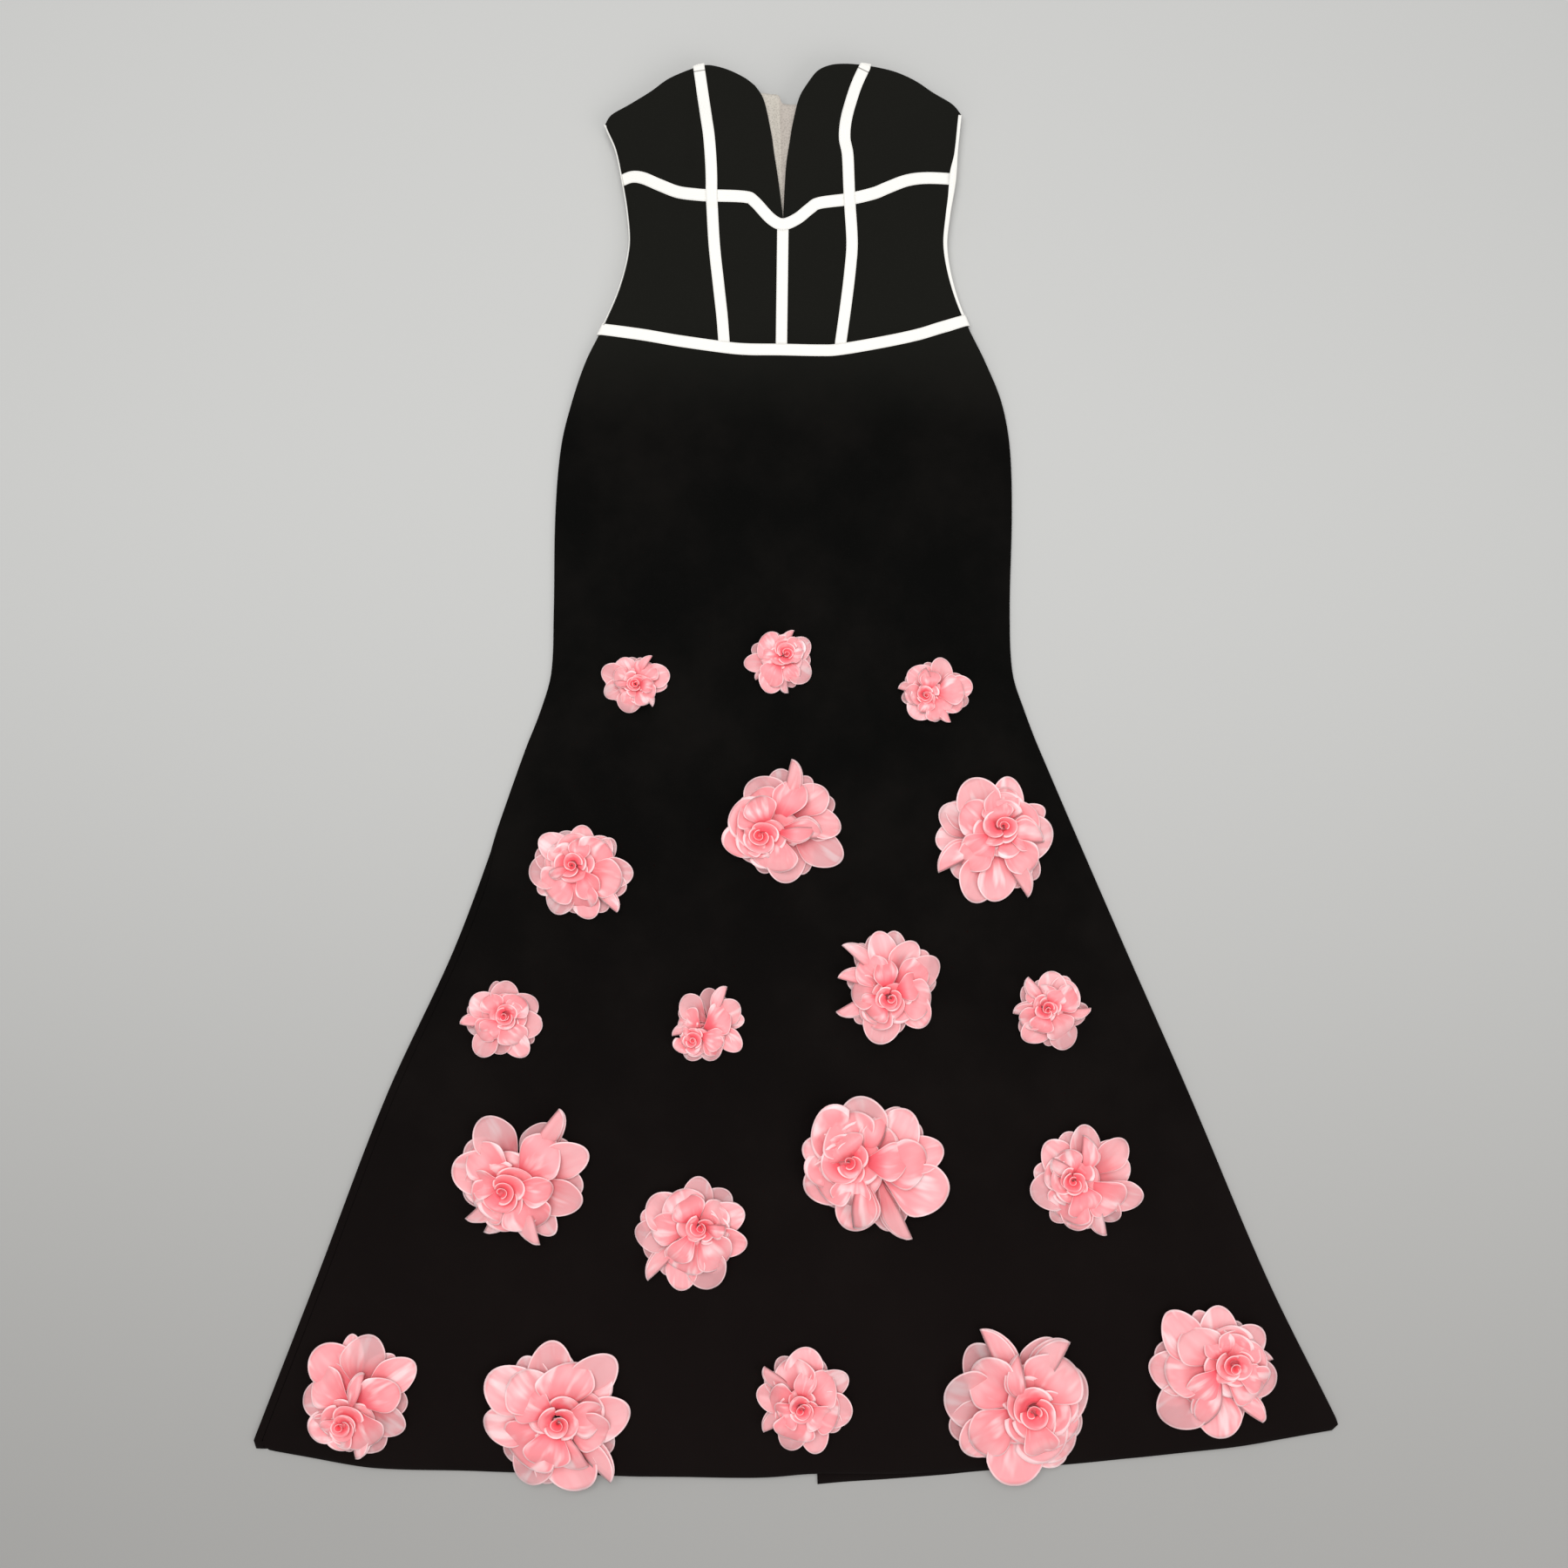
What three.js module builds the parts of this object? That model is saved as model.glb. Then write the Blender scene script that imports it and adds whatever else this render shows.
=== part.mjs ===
import * as THREE from 'three';

// A strapless trumpet gown of black bandage knit, laid flat on its back panels.
// Millimetres: +Y runs from hem to neckline, +Z is up off the surface, and left and
// right are as seen from above with the neckline at the far end.

const wall = 1.5;           // thickness of the knit
const seamGap = 0.3;        // clearance between neighbouring pieces
const tapeWide = 10;        // the seam tape's width
const tapeThick = 1;        // the seam tape's thickness
const tapeClear = 0.6;      // the tape's height over the knit that it is sewn to
const meshThick = 1;        // the insert in the neckline's notch
const meshBelow = 1;        // clearance between it and the cups' undersides
const hemCorner = 9;        // radius where a side seam meets the hem
const curlWide = 22;        // how far in the back panels lift towards the side seams
const rollWide = 8;         // back cloth rolled round to the front at the left side seam
const rollFrom = -40;       // where that roll starts, down the skirt
const rollFull = -100;      // where it reaches its full width
const backNeckDip = 494;    // lowest point of the back neckline
const wrapDeep = 5;         // how far a tape's turned end reaches round an edge
const wrapClear = 0.6;      // the turned end's clearance outside the edge
const humpClear = 0.6;      // clearance where one tape crosses over another
const hiddenFlange = 6;     // how far the side tapes reach under the back
const leftFlange = 0.3;     // how much of the left side tape shows on the front

const knitBlack = { color: 0x151413, roughness: 0.95, metalness: 0 };
const tapeWhite = { color: 0xf6f3ea, roughness: 0.85, metalness: 0 };
const meshNude = { color: 0xc9b9a8, roughness: 0.9, metalness: 0 };
const petalPink = { color: 0xf4a3aa, roughness: 0.5, metalness: 0 };

// Sections down the dress: both side edges, the height of the side seam off the
// surface, and how far the front rises above it in the middle.
const sections = [
  { name: 'side corner',  y: 600,  left: -172,   right: 148,   lift: 10,   crown: 11 },
  { name: 'upper cup',    y: 585,  left: -170.2, right: 146.4, lift: 10,   crown: 13 },
  { name: 'full bust',    y: 563,  left: -161,   right: 144.2, lift: 10,   crown: 16 },
  { name: 'underbust',    y: 536,  left: -155.2, right: 142.4, lift: 10,   crown: 15 },
  { name: 'ribs',         y: 505,  left: -150.2, right: 137.3, lift: 9.5,  crown: 14 },
  { name: 'narrowest',    y: 476,  left: -149,   right: 134.7, lift: 9,    crown: 12 },
  { name: 'above waist',  y: 441,  left: -157.4, right: 141.1, lift: 8,    crown: 9 },
  { name: 'waist',        y: 407,  left: -172.2, right: 153.8, lift: 6.5,  crown: 7 },
  { name: 'upper hip',    y: 376,  left: -188.2, right: 169.4, lift: 5,    crown: 5.6 },
  { name: 'hip',          y: 340,  left: -201,   right: 184.5, lift: 3.5,  crown: 5 },
  { name: 'full hip',     y: 300,  left: -211,   right: 192.3, lift: 2.5,  crown: 4.6 },
  { name: 'seat',         y: 240,  left: -216.3, right: 194.4, lift: 2,    crown: 4.4 },
  { name: 'thigh',        y: 150,  left: -217.6, right: 192.5, lift: 1.9,  crown: 4 },
  { name: 'flare starts', y: 95,   left: -219.8, right: 195.2, lift: 1.8,  crown: 3.7 },
  { name: 'knee',         y: 60,   left: -229.8, right: 206.3, lift: 1.8,  crown: 3.5 },
  { name: 'below knee',   y: 27,   left: -242.7, right: 219.1, lift: 1.8,  crown: 3.3 },
  { name: 'upper flare',  y: -145, left: -304.6, right: 293.3, lift: 1.8,  crown: 2.9 },
  { name: 'flare',        y: -285, left: -368.9, right: 354.8, lift: 1.8,  crown: 2.6 },
  { name: 'lower flare',  y: -451, left: -432.4, right: 425,   lift: 1.8,  crown: 2.3 },
  { name: 'above hem',    y: -571, left: -479,   right: 484.2, lift: 1.8,  crown: 2.1 },
  { name: 'hem',          y: -606, left: -492.6, right: 500.5, lift: 1.8,  crown: 2 },
];

// Soft forms on the front: a trough is a negative rise, each along a short line
const folds = [
  { name: 'left bust',         from: [-92, 566],  to: [-84, 552],   wide: 42, rise: 7 },
  { name: 'right bust',        from: [62, 570],   to: [56, 552],    wide: 40, rise: 7 },
  { name: 'left cup trough',   from: [-99, 604],  to: [-98, 542],   wide: 9,  rise: -3 },
  { name: 'right cup crease',  from: [22, 562],   to: [76, 569],    wide: 11, rise: -2.4 },
  { name: 'left hollow',       from: [-52, 450],  to: [-50, 424],   wide: 15, rise: -2.6 },
  { name: 'right hollow',      from: [17, 462],   to: [16, 436],    wide: 13, rise: -2.2 },
  { name: 'left waist hollow', from: [-131, 466], to: [-134, 428],  wide: 14, rise: -2.2 },
  { name: 'right hip crease',  from: [143, 398],  to: [102, 342],   wide: 12, rise: -2.4 },
  { name: 'right hip tail',    from: [102, 342],  to: [60, 200],    wide: 20, rise: -1.4 },
  { name: 'left hip crease',   from: [-150, 372], to: [-112, 318],  wide: 15, rise: -1.2 },
  { name: 'left ridge',        from: [-250, -60], to: [-392, -600], wide: 34, rise: 2.8 },
  { name: 'left valley',       from: [-190, -90], to: [-300, -610], wide: 30, rise: -1.6 },
  { name: 'mid left ridge',    from: [-120, 0],   to: [-150, -620], wide: 42, rise: 2.2 },
  { name: 'mid right ridge',   from: [60, 20],    to: [96, -620],   wide: 46, rise: 1.8 },
  { name: 'right valley',      from: [150, -60],  to: [268, -600],  wide: 30, rise: -1.4 },
  { name: 'right ridge',       from: [215, -80],  to: [395, -580],  wide: 36, rise: 2.4 },
];

// The seams and edges, each a smooth curve through a few points
const princessLeftWaistToBust = [
  [-63.9, 386.2], [-65.8, 411.6], [-68.8, 439], [-72.6, 476], [-74.7, 516.7],
];
const princessLeftBustToTop = [
  [-74.7, 516.7], [-74.9, 539.9], [-76.7, 566], [-79.8, 587.9], [-86.4, 633.9],
];
const princessRightWaistToBust = [
  [39.2, 384.3], [44.6, 423], [48.4, 455], [49.8, 478.7], [47.3, 513.6],
];
const princessRightBustToTop = [
  [47.3, 513.6], [46.4, 534.5], [45.4, 552], [43, 567], [44.6, 584], [50.3, 605.8],
  [55.4, 620.2], [62.1, 634.7],
];
const underbustPoints = [
  [-155.1, 535.5], [-146, 537.6], [-136, 535.4], [-121.5, 528.3], [-105, 521], [-88.6, 517.9], [-74.7, 516.7],
  [-45.3, 515.6], [-36.8, 511.7], [-22.2, 496.7], [-11.5, 492], [1, 496.7], [12.6, 505.6], [21, 510.2],
  [47.3, 513.6], [68.2, 518.7], [80.7, 524.1], [98.7, 531.8], [116.8, 535.3], [142.45, 536.4],
];
const waistPoints = [
  [-173.9, 403.5], [-137.7, 398], [-104, 392], [-63.9, 386.2], [-43.3, 384.4], [-12.9, 384],
  [21.3, 383.4], [39.2, 384.3], [75.1, 390.4], [108.6, 397.7], [131.4, 405], [151.9, 411.3],
];
const neckSideLeft = [
  [-170.4, 585.5], [-164.8, 593.7], [-148.9, 601.7], [-129.3, 612.5], [-112, 624], [-86.4, 633.9],
];
const neckCentreLeft = [[-86.4, 633.9], [-76.3, 634.6], [-60.8, 630.5], [-45.4, 622.9], [-36.1, 615.7]];
const neckCentreRight = [[8.7, 615.7], [18.8, 628.8], [30.8, 634.4], [45.1, 635.7], [62.1, 634.7]];
const neckSideRight = [
  [62.1, 634.7], [86.3, 630.2], [105.8, 622.6], [122.3, 612.6], [139.6, 603.4], [147.4, 594.9],
];
const notchLeft = [
  [-11.5, 492], [-11.8, 501], [-16, 533.3], [-19.1, 552.2], [-22.1, 572.6], [-28.3, 602.4], [-36.1, 615.7],
];
const notchRight = [
  [-11.5, 492], [-11.2, 501], [-9, 540.6], [-6, 561.1], [-2.9, 580.7], [2.5, 604], [8.7, 615.7],
];
const centreSeam = [[-12.9, 384], [-12.7, 437.6], [-11.5, 492]];
const backNeck = [
  [-170.4, 585.5], [-120, 545], [-70, 510], [-11.5, backNeckDip], [46, 510], [96, 547], [147.4, 594.9],
];
const hemFront = [
  [-482.4, -603.7], [-463, -606.8], [-412, -614.7], [-369, -620.1], [-310, -622.5], [-167.5, -625.6],
  [-42.7, -628.4], [16.1, -624.8], [82.7, -624.1], [169, -620.9], [263.9, -614.7],
  [387.9, -601.3], [482.6, -586.4],
];
const hemBackRight = [
  [19.6, -635.7], [45.2, -633.4], [82.8, -631], [133.1, -627.1], [169.2, -623.6],
  [263.9, -616.2], [387.9, -602], [482.6, -586.4],
];
const centreBackWaist = [-12.9, 384];
const hemBackLeft = [
  [-482.4, -603.7], [-455, -604.5], [-412, -610], [-310, -619], [-167.5, -622.4],
  [-42.7, -625.4], [19.2, -624],
];
const middle = [0.16, 0.8];   // shift that centres the dress on the frame's origin
const notchLap = 3;         // how far the mesh reaches behind the cups' edges
const notchFoot = 496;      // the mesh's lower end, behind the underbust tape
const notchTop = [[-36.2, 610.8], [-24, 609.2], [-15.5, 608], [-11, 600.6], [3.4, 599.4]];
const meshFold = { name: 'mesh fold', from: [-16, 601], to: [-11.4, 505], wide: 4, rise: -2 };

// How much of the right side tape shows on the front, down the seam
const rightFlange = [
  { y: 590, wide: 2.2 },
  { y: 560, wide: 2.4 },
  { y: 541, wide: 5.2 },
  { y: 515, wide: 3.6 },
  { y: 466, wide: 2.2 },
  { y: 415, wide: 1.2 },
];

// Each flower: its middle, its size across and along the dress, its height, its outer
// petals, the bearing that they are laid out from, the degrees left open there, the
// bearings of its narrow folded petal and its longest one, and where its bud sits as a
// share of its size. Bearings are in degrees.
const flowerColumns = [
  'x', 'y', 'wide', 'tall', 'high', 'petals', 'turn', 'open', 'slim', 'long', 'budX', 'budY',
];
const flowers = [
  [ -144.1,    86.4,   60.9,   52.3,  17,  7,  -10,   0,   90,   17,   0.03,  -0.08],
  [  -15.3,   105.6,   62.4,   57.8,  18,  7,   65,   0,   81,  187,   0.21,   0.21],
  [  125.2,    78.3,   67.2,   57.8,  18,  7,   40,   0,  252,  210,  -0.29,  -0.13],
  [ -192.4,   -83.7,   93.7,   85.1,  24,  8,   70,   0,  298,  346,  -0.13,   0.17],
  [   -9.4,     -38,   99.1,  110.8,  27,  8,   70,   0,   90,  297,  -0.44,  -0.22],
  [  177.1,     -54,    107,    110,  28,  8,   30,   0,  311,    6,   0.11,   0.21],
  [ -264.2,  -215.9,   73.3,   70.3,  20,  7,   60,   0,  188,  215,   0.13,   0.16],
  [  -78.5,  -219.1,   65.6,   67.1,  20,  7,   95,  36,   46,  300,  -0.42,   -0.4],
  [   84.2,  -186.3,   92.9,  101.4,  25,  8,  -65,  30,  124,    9,  -0.02,  -0.17],
  [    229,  -207.8,   68.6,   71.1,  20,  7,   60,   0,  357,  272,  -0.16,   0.09],
  [ -247.4,  -356.4,  120.9,  121.8,  30,  7,   85,  30,   66,   25,  -0.21,  -0.17],
  [    -94,  -406.4,   99.9,   99.9,  26,  8,   50,   0,  207,   66,   0.19,   0.17],
  [     71,  -349.8,  128.8,  128.8,  32,  8,   75,   0,  264,  341,  -0.38,   0.19],
  [  260.6,  -359.6,   97.6,   99.9,  26,  7,   16,  26,  280,  350,  -0.29,   0.04],
  [ -391.4,  -553.1,  101.5,  110.8,  26,  7,   60,   0,  269,   29,  -0.24,  -0.39],
  [ -214.2,  -571.5,  131.1,  133.5,  31,  8,   80,   0,  349,   75,   0.03,   0.02],
  [    7.8,  -556.2,   86.7,   93.6,  24,  8,   60,   0,  107,   74,  -0.08,  -0.09],
  [  197.8,  -560.5,  129.6,  144.4,  31,  7,   70,   0,   45,  100,   0.21,  -0.02],
  [  374.9,  -531.6,  115.5,  119.4,  28,  8,   60,   0,  325,  107,   0.24,    0.2],
].map((row) => Object.fromEntries(flowerColumns.map((key, k) => [key, row[k]])));

// A flower's profile from its outer petals to its bud: the ring's reach and height as
// shares of the flower's, how deep the notches between petals are, and by how many samples
// the petals are turned from the ring of outer petals.
const flowerRings = [
  { name: 'outer petals',       reach: 1,    height: 0.1,  notch: 0.3,  turned: 0 },
  { name: 'groove',             reach: 0.6,  height: 0.2,  notch: 0,    turned: 0 },
  { name: 'middle petals',      reach: 0.78, height: 0.42, notch: 0.2,  turned: 2 },
  { name: 'second groove',      reach: 0.42, height: 0.5,  notch: 0,    turned: 2 },
  { name: 'inner petals',       reach: 0.52, height: 0.78, notch: 0.16, turned: 3 },
  { name: 'ring round the bud', reach: 0.24, height: 0.68, notch: 0,    turned: 3 },
  { name: 'bud',                reach: 0.2,  height: 1,    notch: 0.1,  turned: 1 },
];
// One outer petal from edge to edge: shares of its span, and how far the round end draws in
const petalEnd = [
  { share: 0,    drawn: 0 },
  { share: 0.22, drawn: 0.07 },
  { share: 0.5,  drawn: 0 },
  { share: 0.78, drawn: 0.07 },
];
const flowerSeat = 0.8;     // height of a flower's stitched middle over the skirt
const gapReach = 0.42;      // where a deep gap between two petals ends
const underReach = 0.5;     // where a flower's underside starts to rise to its petals
const budHollow = 0.84;     // height of the bud's hollow as a share of the flower's

// A smooth value between the rows of a table that runs down the dress
function readColumn(rows, key, y) {
  const last = rows.length - 1;
  if (y >= rows[0].y) return rows[0][key];
  if (y <= rows[last].y) return rows[last][key];
  const i = rows.findIndex((row) => row.y < y) - 1;
  const slope = (k) => {
    const above = rows[Math.max(k - 1, 0)];
    const below = rows[Math.min(k + 1, last)];
    return (below[key] - above[key]) / (below.y - above.y);
  };
  const span = rows[i + 1].y - rows[i].y;
  const t = (y - rows[i].y) / span;
  const t2 = t * t;
  const t3 = t2 * t;
  return (2 * t3 - 3 * t2 + 1) * rows[i][key] + (t3 - 2 * t2 + t) * span * slope(i)
    + (3 * t2 - 2 * t3) * rows[i + 1][key] + (t3 - t2) * span * slope(i + 1);
}

const smooth = (t) => THREE.MathUtils.smoothstep(t, 0, 1);
const lerp = THREE.MathUtils.lerp;

// Rounds a side edge into the hem
function cornerInset(y, hemY) {
  const above = y - hemY;
  if (above >= hemCorner) return 0;
  return hemCorner - Math.sqrt(hemCorner ** 2 - (hemCorner - above) ** 2);
}
const leftHemY = hemFront[0][1];
const rightHemY = hemFront[hemFront.length - 1][1];
const leftEdge = (y) => readColumn(sections, 'left', y) + cornerInset(y, leftHemY);
const rightEdge = (y) => readColumn(sections, 'right', y) - cornerInset(y, rightHemY);
const rollAt = (y) => smooth((rollFrom - y) / (rollFrom - rollFull));

function foldRise(fold, x, y) {
  const [ax, ay] = fold.from;
  const dx = fold.to[0] - ax;
  const dy = fold.to[1] - ay;
  const along = THREE.MathUtils.clamp(((x - ax) * dx + (y - ay) * dy) / (dx * dx + dy * dy), 0, 1);
  const away = Math.hypot(x - ax - along * dx, y - ay - along * dy);
  return fold.rise * Math.exp(-((away / fold.wide) ** 2));
}

// Underside of the front cloth
function frontUnder(x, y) {
  const left = readColumn(sections, 'left', y);
  const right = readColumn(sections, 'right', y);
  const across = THREE.MathUtils.clamp((x - left) / (right - left), 0, 1);
  const arch = Math.sin(Math.PI * across) ** 0.7;
  const lift = readColumn(sections, 'lift', y);
  const soft = smooth(Math.min(across, 1 - across) * (right - left) / 24);
  const rises = folds.reduce((sum, fold) => sum + foldRise(fold, x, y), 0);
  return Math.max(lift + readColumn(sections, 'crown', y) * arch + rises * soft, wall + seamGap);
}

// Underside of the back cloth: flat on the surface, lifting to the side seams
function backUnder(x, y) {
  const fromSide = Math.min(x - readColumn(sections, 'left', y), readColumn(sections, 'right', y) - x);
  const curl = Math.max(1 - fromSide / curlWide, 0) ** 2;
  return (readColumn(sections, 'lift', y) - wall - seamGap) * Math.min(curl, 1);
}

// A point at share t along a smooth curve through points
function curve(points) {
  const spline = new THREE.SplineCurve(points.map(([x, y]) => new THREE.Vector2(x, y)));
  return (t) => spline.getPoint(t).toArray();
}
const part = (path, from, to) => (t) => path(lerp(from, to, t));
const alongSide = (edge, fromY, toY) => (t) => {
  const y = lerp(fromY, toY, t);
  return [edge(y), y];
};
const straight = (a, b) => (t) => [lerp(a[0], b[0], t), lerp(a[1], b[1], t)];

// A patch between four edges, u from left to right and v from bottom to top
function patch({ left, right, bottom, top }) {
  const corners = [left(0), right(0), left(1), right(1)];
  return (u, v) => [0, 1].map((k) => (
    (1 - u) * left(v)[k] + u * right(v)[k] + (1 - v) * bottom(u)[k] + v * top(u)[k]
    - (1 - u) * (1 - v) * corners[0][k] - u * (1 - v) * corners[1][k]
    - (1 - u) * v * corners[2][k] - u * v * corners[3][k]
  ));
}

// A closed body from a grid of point pairs, each an inner and an outer point
function shell(grid) {
  const rows = grid.length;
  const columns = grid[0].length;
  const positions = [];
  for (const side of ['inner', 'outer']) {
    for (const row of grid) row.forEach((pair) => positions.push(...pair[side]));
  }
  const inner = (j, i) => j * columns + i;
  const outer = (j, i) => rows * columns + j * columns + i;
  const index = [];
  const quad = (a, b, c, d) => index.push(a, b, c, a, c, d);
  for (let j = 0; j + 1 < rows; j += 1) {
    for (let i = 0; i + 1 < columns; i += 1) {
      quad(outer(j, i), outer(j, i + 1), outer(j + 1, i + 1), outer(j + 1, i));
      quad(inner(j, i), inner(j + 1, i), inner(j + 1, i + 1), inner(j, i + 1));
    }
    quad(inner(j, 0), outer(j, 0), outer(j + 1, 0), inner(j + 1, 0));
    quad(inner(j, columns - 1), inner(j + 1, columns - 1), outer(j + 1, columns - 1), outer(j, columns - 1));
  }
  for (let i = 0; i + 1 < columns; i += 1) {
    quad(inner(0, i), inner(0, i + 1), outer(0, i + 1), outer(0, i));
    quad(inner(rows - 1, i), outer(rows - 1, i), outer(rows - 1, i + 1), inner(rows - 1, i + 1));
  }
  const geometry = new THREE.BufferGeometry();
  geometry.setAttribute('position', new THREE.Float32BufferAttribute(positions, 3));
  geometry.setIndex(index);
  geometry.computeVertexNormals();
  return geometry;
}

const dress = new THREE.Group();
function addPiece(name, geometry, look) {
  const mesh = new THREE.Mesh(geometry, new THREE.MeshStandardMaterial(look));
  mesh.name = name;
  dress.add(mesh);
}

const evenly = (count) => Array.from({ length: count + 1 }, (_, i) => i / count);
const fromRight = (shares) => shares.map((share) => 1 - share).reverse();

// Columns of a back panel, close together where it lifts to its side seam
const curlShares = [0, 0.035, 0.075, 0.14, 0.4, 0.7, 1];

// The plan points of a panel, held half a seam's clearance inside its edges
function planGrid(edges, across, along) {
  const at = patch(edges);
  const length = (a, b) => Math.hypot(a[0] - b[0], a[1] - b[1]);
  const inset = (t, size) => lerp(seamGap / 2 / size, 1 - seamGap / 2 / size, t);
  return along.map((v) => {
    const wide = length(at(0, v), at(1, v));
    const shares = typeof across === 'function' ? across(wide, at(0, v)[1]) : across;
    return shares.map((u) => at(inset(u, wide), inset(v, length(at(u, 0), at(u, 1)))));
  });
}

// The triangles of the front's upper side, so that what is sewn on lies on its points
const skin = [];
function addSkin(grid) {
  for (let j = 0; j + 1 < grid.length; j += 1) {
    for (let i = 0; i + 1 < grid[0].length; i += 1) {
      const corners = [grid[j][i], grid[j][i + 1], grid[j + 1][i + 1], grid[j + 1][i]];
      const [a, b, c, d] = corners.map((p) => p.outer);
      skin.push([a, b, c], [a, c, d]);
    }
  }
}
function skinHeight(x, y) {
  for (const [a, b, c] of skin) {
    const area = (b[0] - a[0]) * (c[1] - a[1]) - (c[0] - a[0]) * (b[1] - a[1]);
    const s = ((b[0] - x) * (c[1] - y) - (c[0] - x) * (b[1] - y)) / area;
    const t = ((c[0] - x) * (a[1] - y) - (a[0] - x) * (c[1] - y)) / area;
    const r = 1 - s - t;
    if (s >= 0 && t >= 0 && r >= 0) return s * a[2] + t * b[2] + r * c[2];
  }
  return frontUnder(x, y) + wall;
}

function frontPanel(name, edges, across, along) {
  const grid = planGrid(edges, across, along).map((row) => row.map(([x, y]) => {
    const z = frontUnder(x, y);
    return { inner: [x, y, z], outer: [x, y, z + wall] };
  }));
  addSkin(grid);
  addPiece(name, shell(grid), knitBlack);
}

function backPanel(name, edges, across, along, extraHeight = () => 0) {
  const grid = planGrid(edges, across, along).map((row) => row.map(([x, y], i) => {
    const z = backUnder(x, y);
    return { inner: [x, y, z], outer: [x, y, z + wall + extraHeight(y, i)] };
  }));
  addPiece(name, shell(grid), knitBlack);
}

// Seams, each once, so that the pieces on both sides of it share its points
const seams = {
  princessLeftLow: curve(princessLeftWaistToBust),
  princessLeftHigh: curve(princessLeftBustToTop),
  princessRightLow: curve(princessRightWaistToBust),
  princessRightHigh: curve(princessRightBustToTop),
  underbust: curve(underbustPoints),
  waist: curve(waistPoints),
  centre: curve(centreSeam),
  notchLeft: curve(notchLeft),
  notchRight: curve(notchRight),
};
const underbustStop = { left: 0, princessLeft: 6 / 19, centre: 10 / 19, princessRight: 14 / 19, right: 1 };
const waistStop = { left: 0, princessLeft: 3 / 11, centre: 5 / 11, princessRight: 7 / 11, right: 1 };
const underbustPart = (from, to) => part(seams.underbust, underbustStop[from], underbustStop[to]);
const waistPart = (from, to) => part(seams.waist, waistStop[from], waistStop[to]);

function makeCups() {
  const rows = evenly(7);
  frontPanel('cup_side_left', {
    left: alongSide(leftEdge, underbustPoints[0][1], neckSideLeft[0][1]),
    right: seams.princessLeftHigh,
    bottom: underbustPart('left', 'princessLeft'),
    top: curve(neckSideLeft),
  }, evenly(7), rows);
  frontPanel('cup_centre_left', {
    left: seams.princessLeftHigh,
    right: seams.notchLeft,
    bottom: underbustPart('princessLeft', 'centre'),
    top: curve(neckCentreLeft),
  }, evenly(5), rows);
  frontPanel('cup_centre_right', {
    left: seams.notchRight,
    right: seams.princessRightHigh,
    bottom: underbustPart('centre', 'princessRight'),
    top: curve(neckCentreRight),
  }, evenly(5), rows);
  frontPanel('cup_side_right', {
    left: seams.princessRightHigh,
    right: alongSide(rightEdge, underbustPoints.at(-1)[1], neckSideRight.at(-1)[1]),
    bottom: underbustPart('princessRight', 'right'),
    top: curve(neckSideRight),
  }, evenly(7), rows);
}

function makeMidriff() {
  const rows = evenly(7);
  frontPanel('midriff_side_left', {
    left: alongSide(leftEdge, waistPoints[0][1], underbustPoints[0][1]),
    right: seams.princessLeftLow,
    bottom: waistPart('left', 'princessLeft'),
    top: underbustPart('left', 'princessLeft'),
  }, evenly(7), rows);
  frontPanel('midriff_centre_left', {
    left: seams.princessLeftLow,
    right: seams.centre,
    bottom: waistPart('princessLeft', 'centre'),
    top: underbustPart('princessLeft', 'centre'),
  }, evenly(5), rows);
  frontPanel('midriff_centre_right', {
    left: seams.centre,
    right: seams.princessRightLow,
    bottom: waistPart('centre', 'princessRight'),
    top: underbustPart('centre', 'princessRight'),
  }, evenly(5), rows);
  frontPanel('midriff_side_right', {
    left: seams.princessRightLow,
    right: alongSide(rightEdge, waistPoints.at(-1)[1], underbustPoints.at(-1)[1]),
    bottom: waistPart('princessRight', 'right'),
    top: underbustPart('princessRight', 'right'),
  }, evenly(7), rows);
}

// Rows of a skirt panel: at its sections, twice as many down the long flare, and round
// the hem's corner
function skirtRows(bottomY, topY) {
  const share = (y) => (y - bottomY) / (topY - bottomY);
  const levels = sections.map((row) => row.y).filter((y) => y < topY - 10 && y > bottomY + 2 * hemCorner);
  const shares = [0, share(bottomY + hemCorner / 4), share(bottomY + hemCorner)];
  levels.reverse().forEach((y, k) => {
    const before = k === 0 ? bottomY + hemCorner : levels[k - 1];
    if (y - before > 70) shares.push(share((before + y) / 2));
    shares.push(share(y));
  });
  shares.push((shares.at(-1) + 1) / 2, 1);
  return shares;
}

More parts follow.
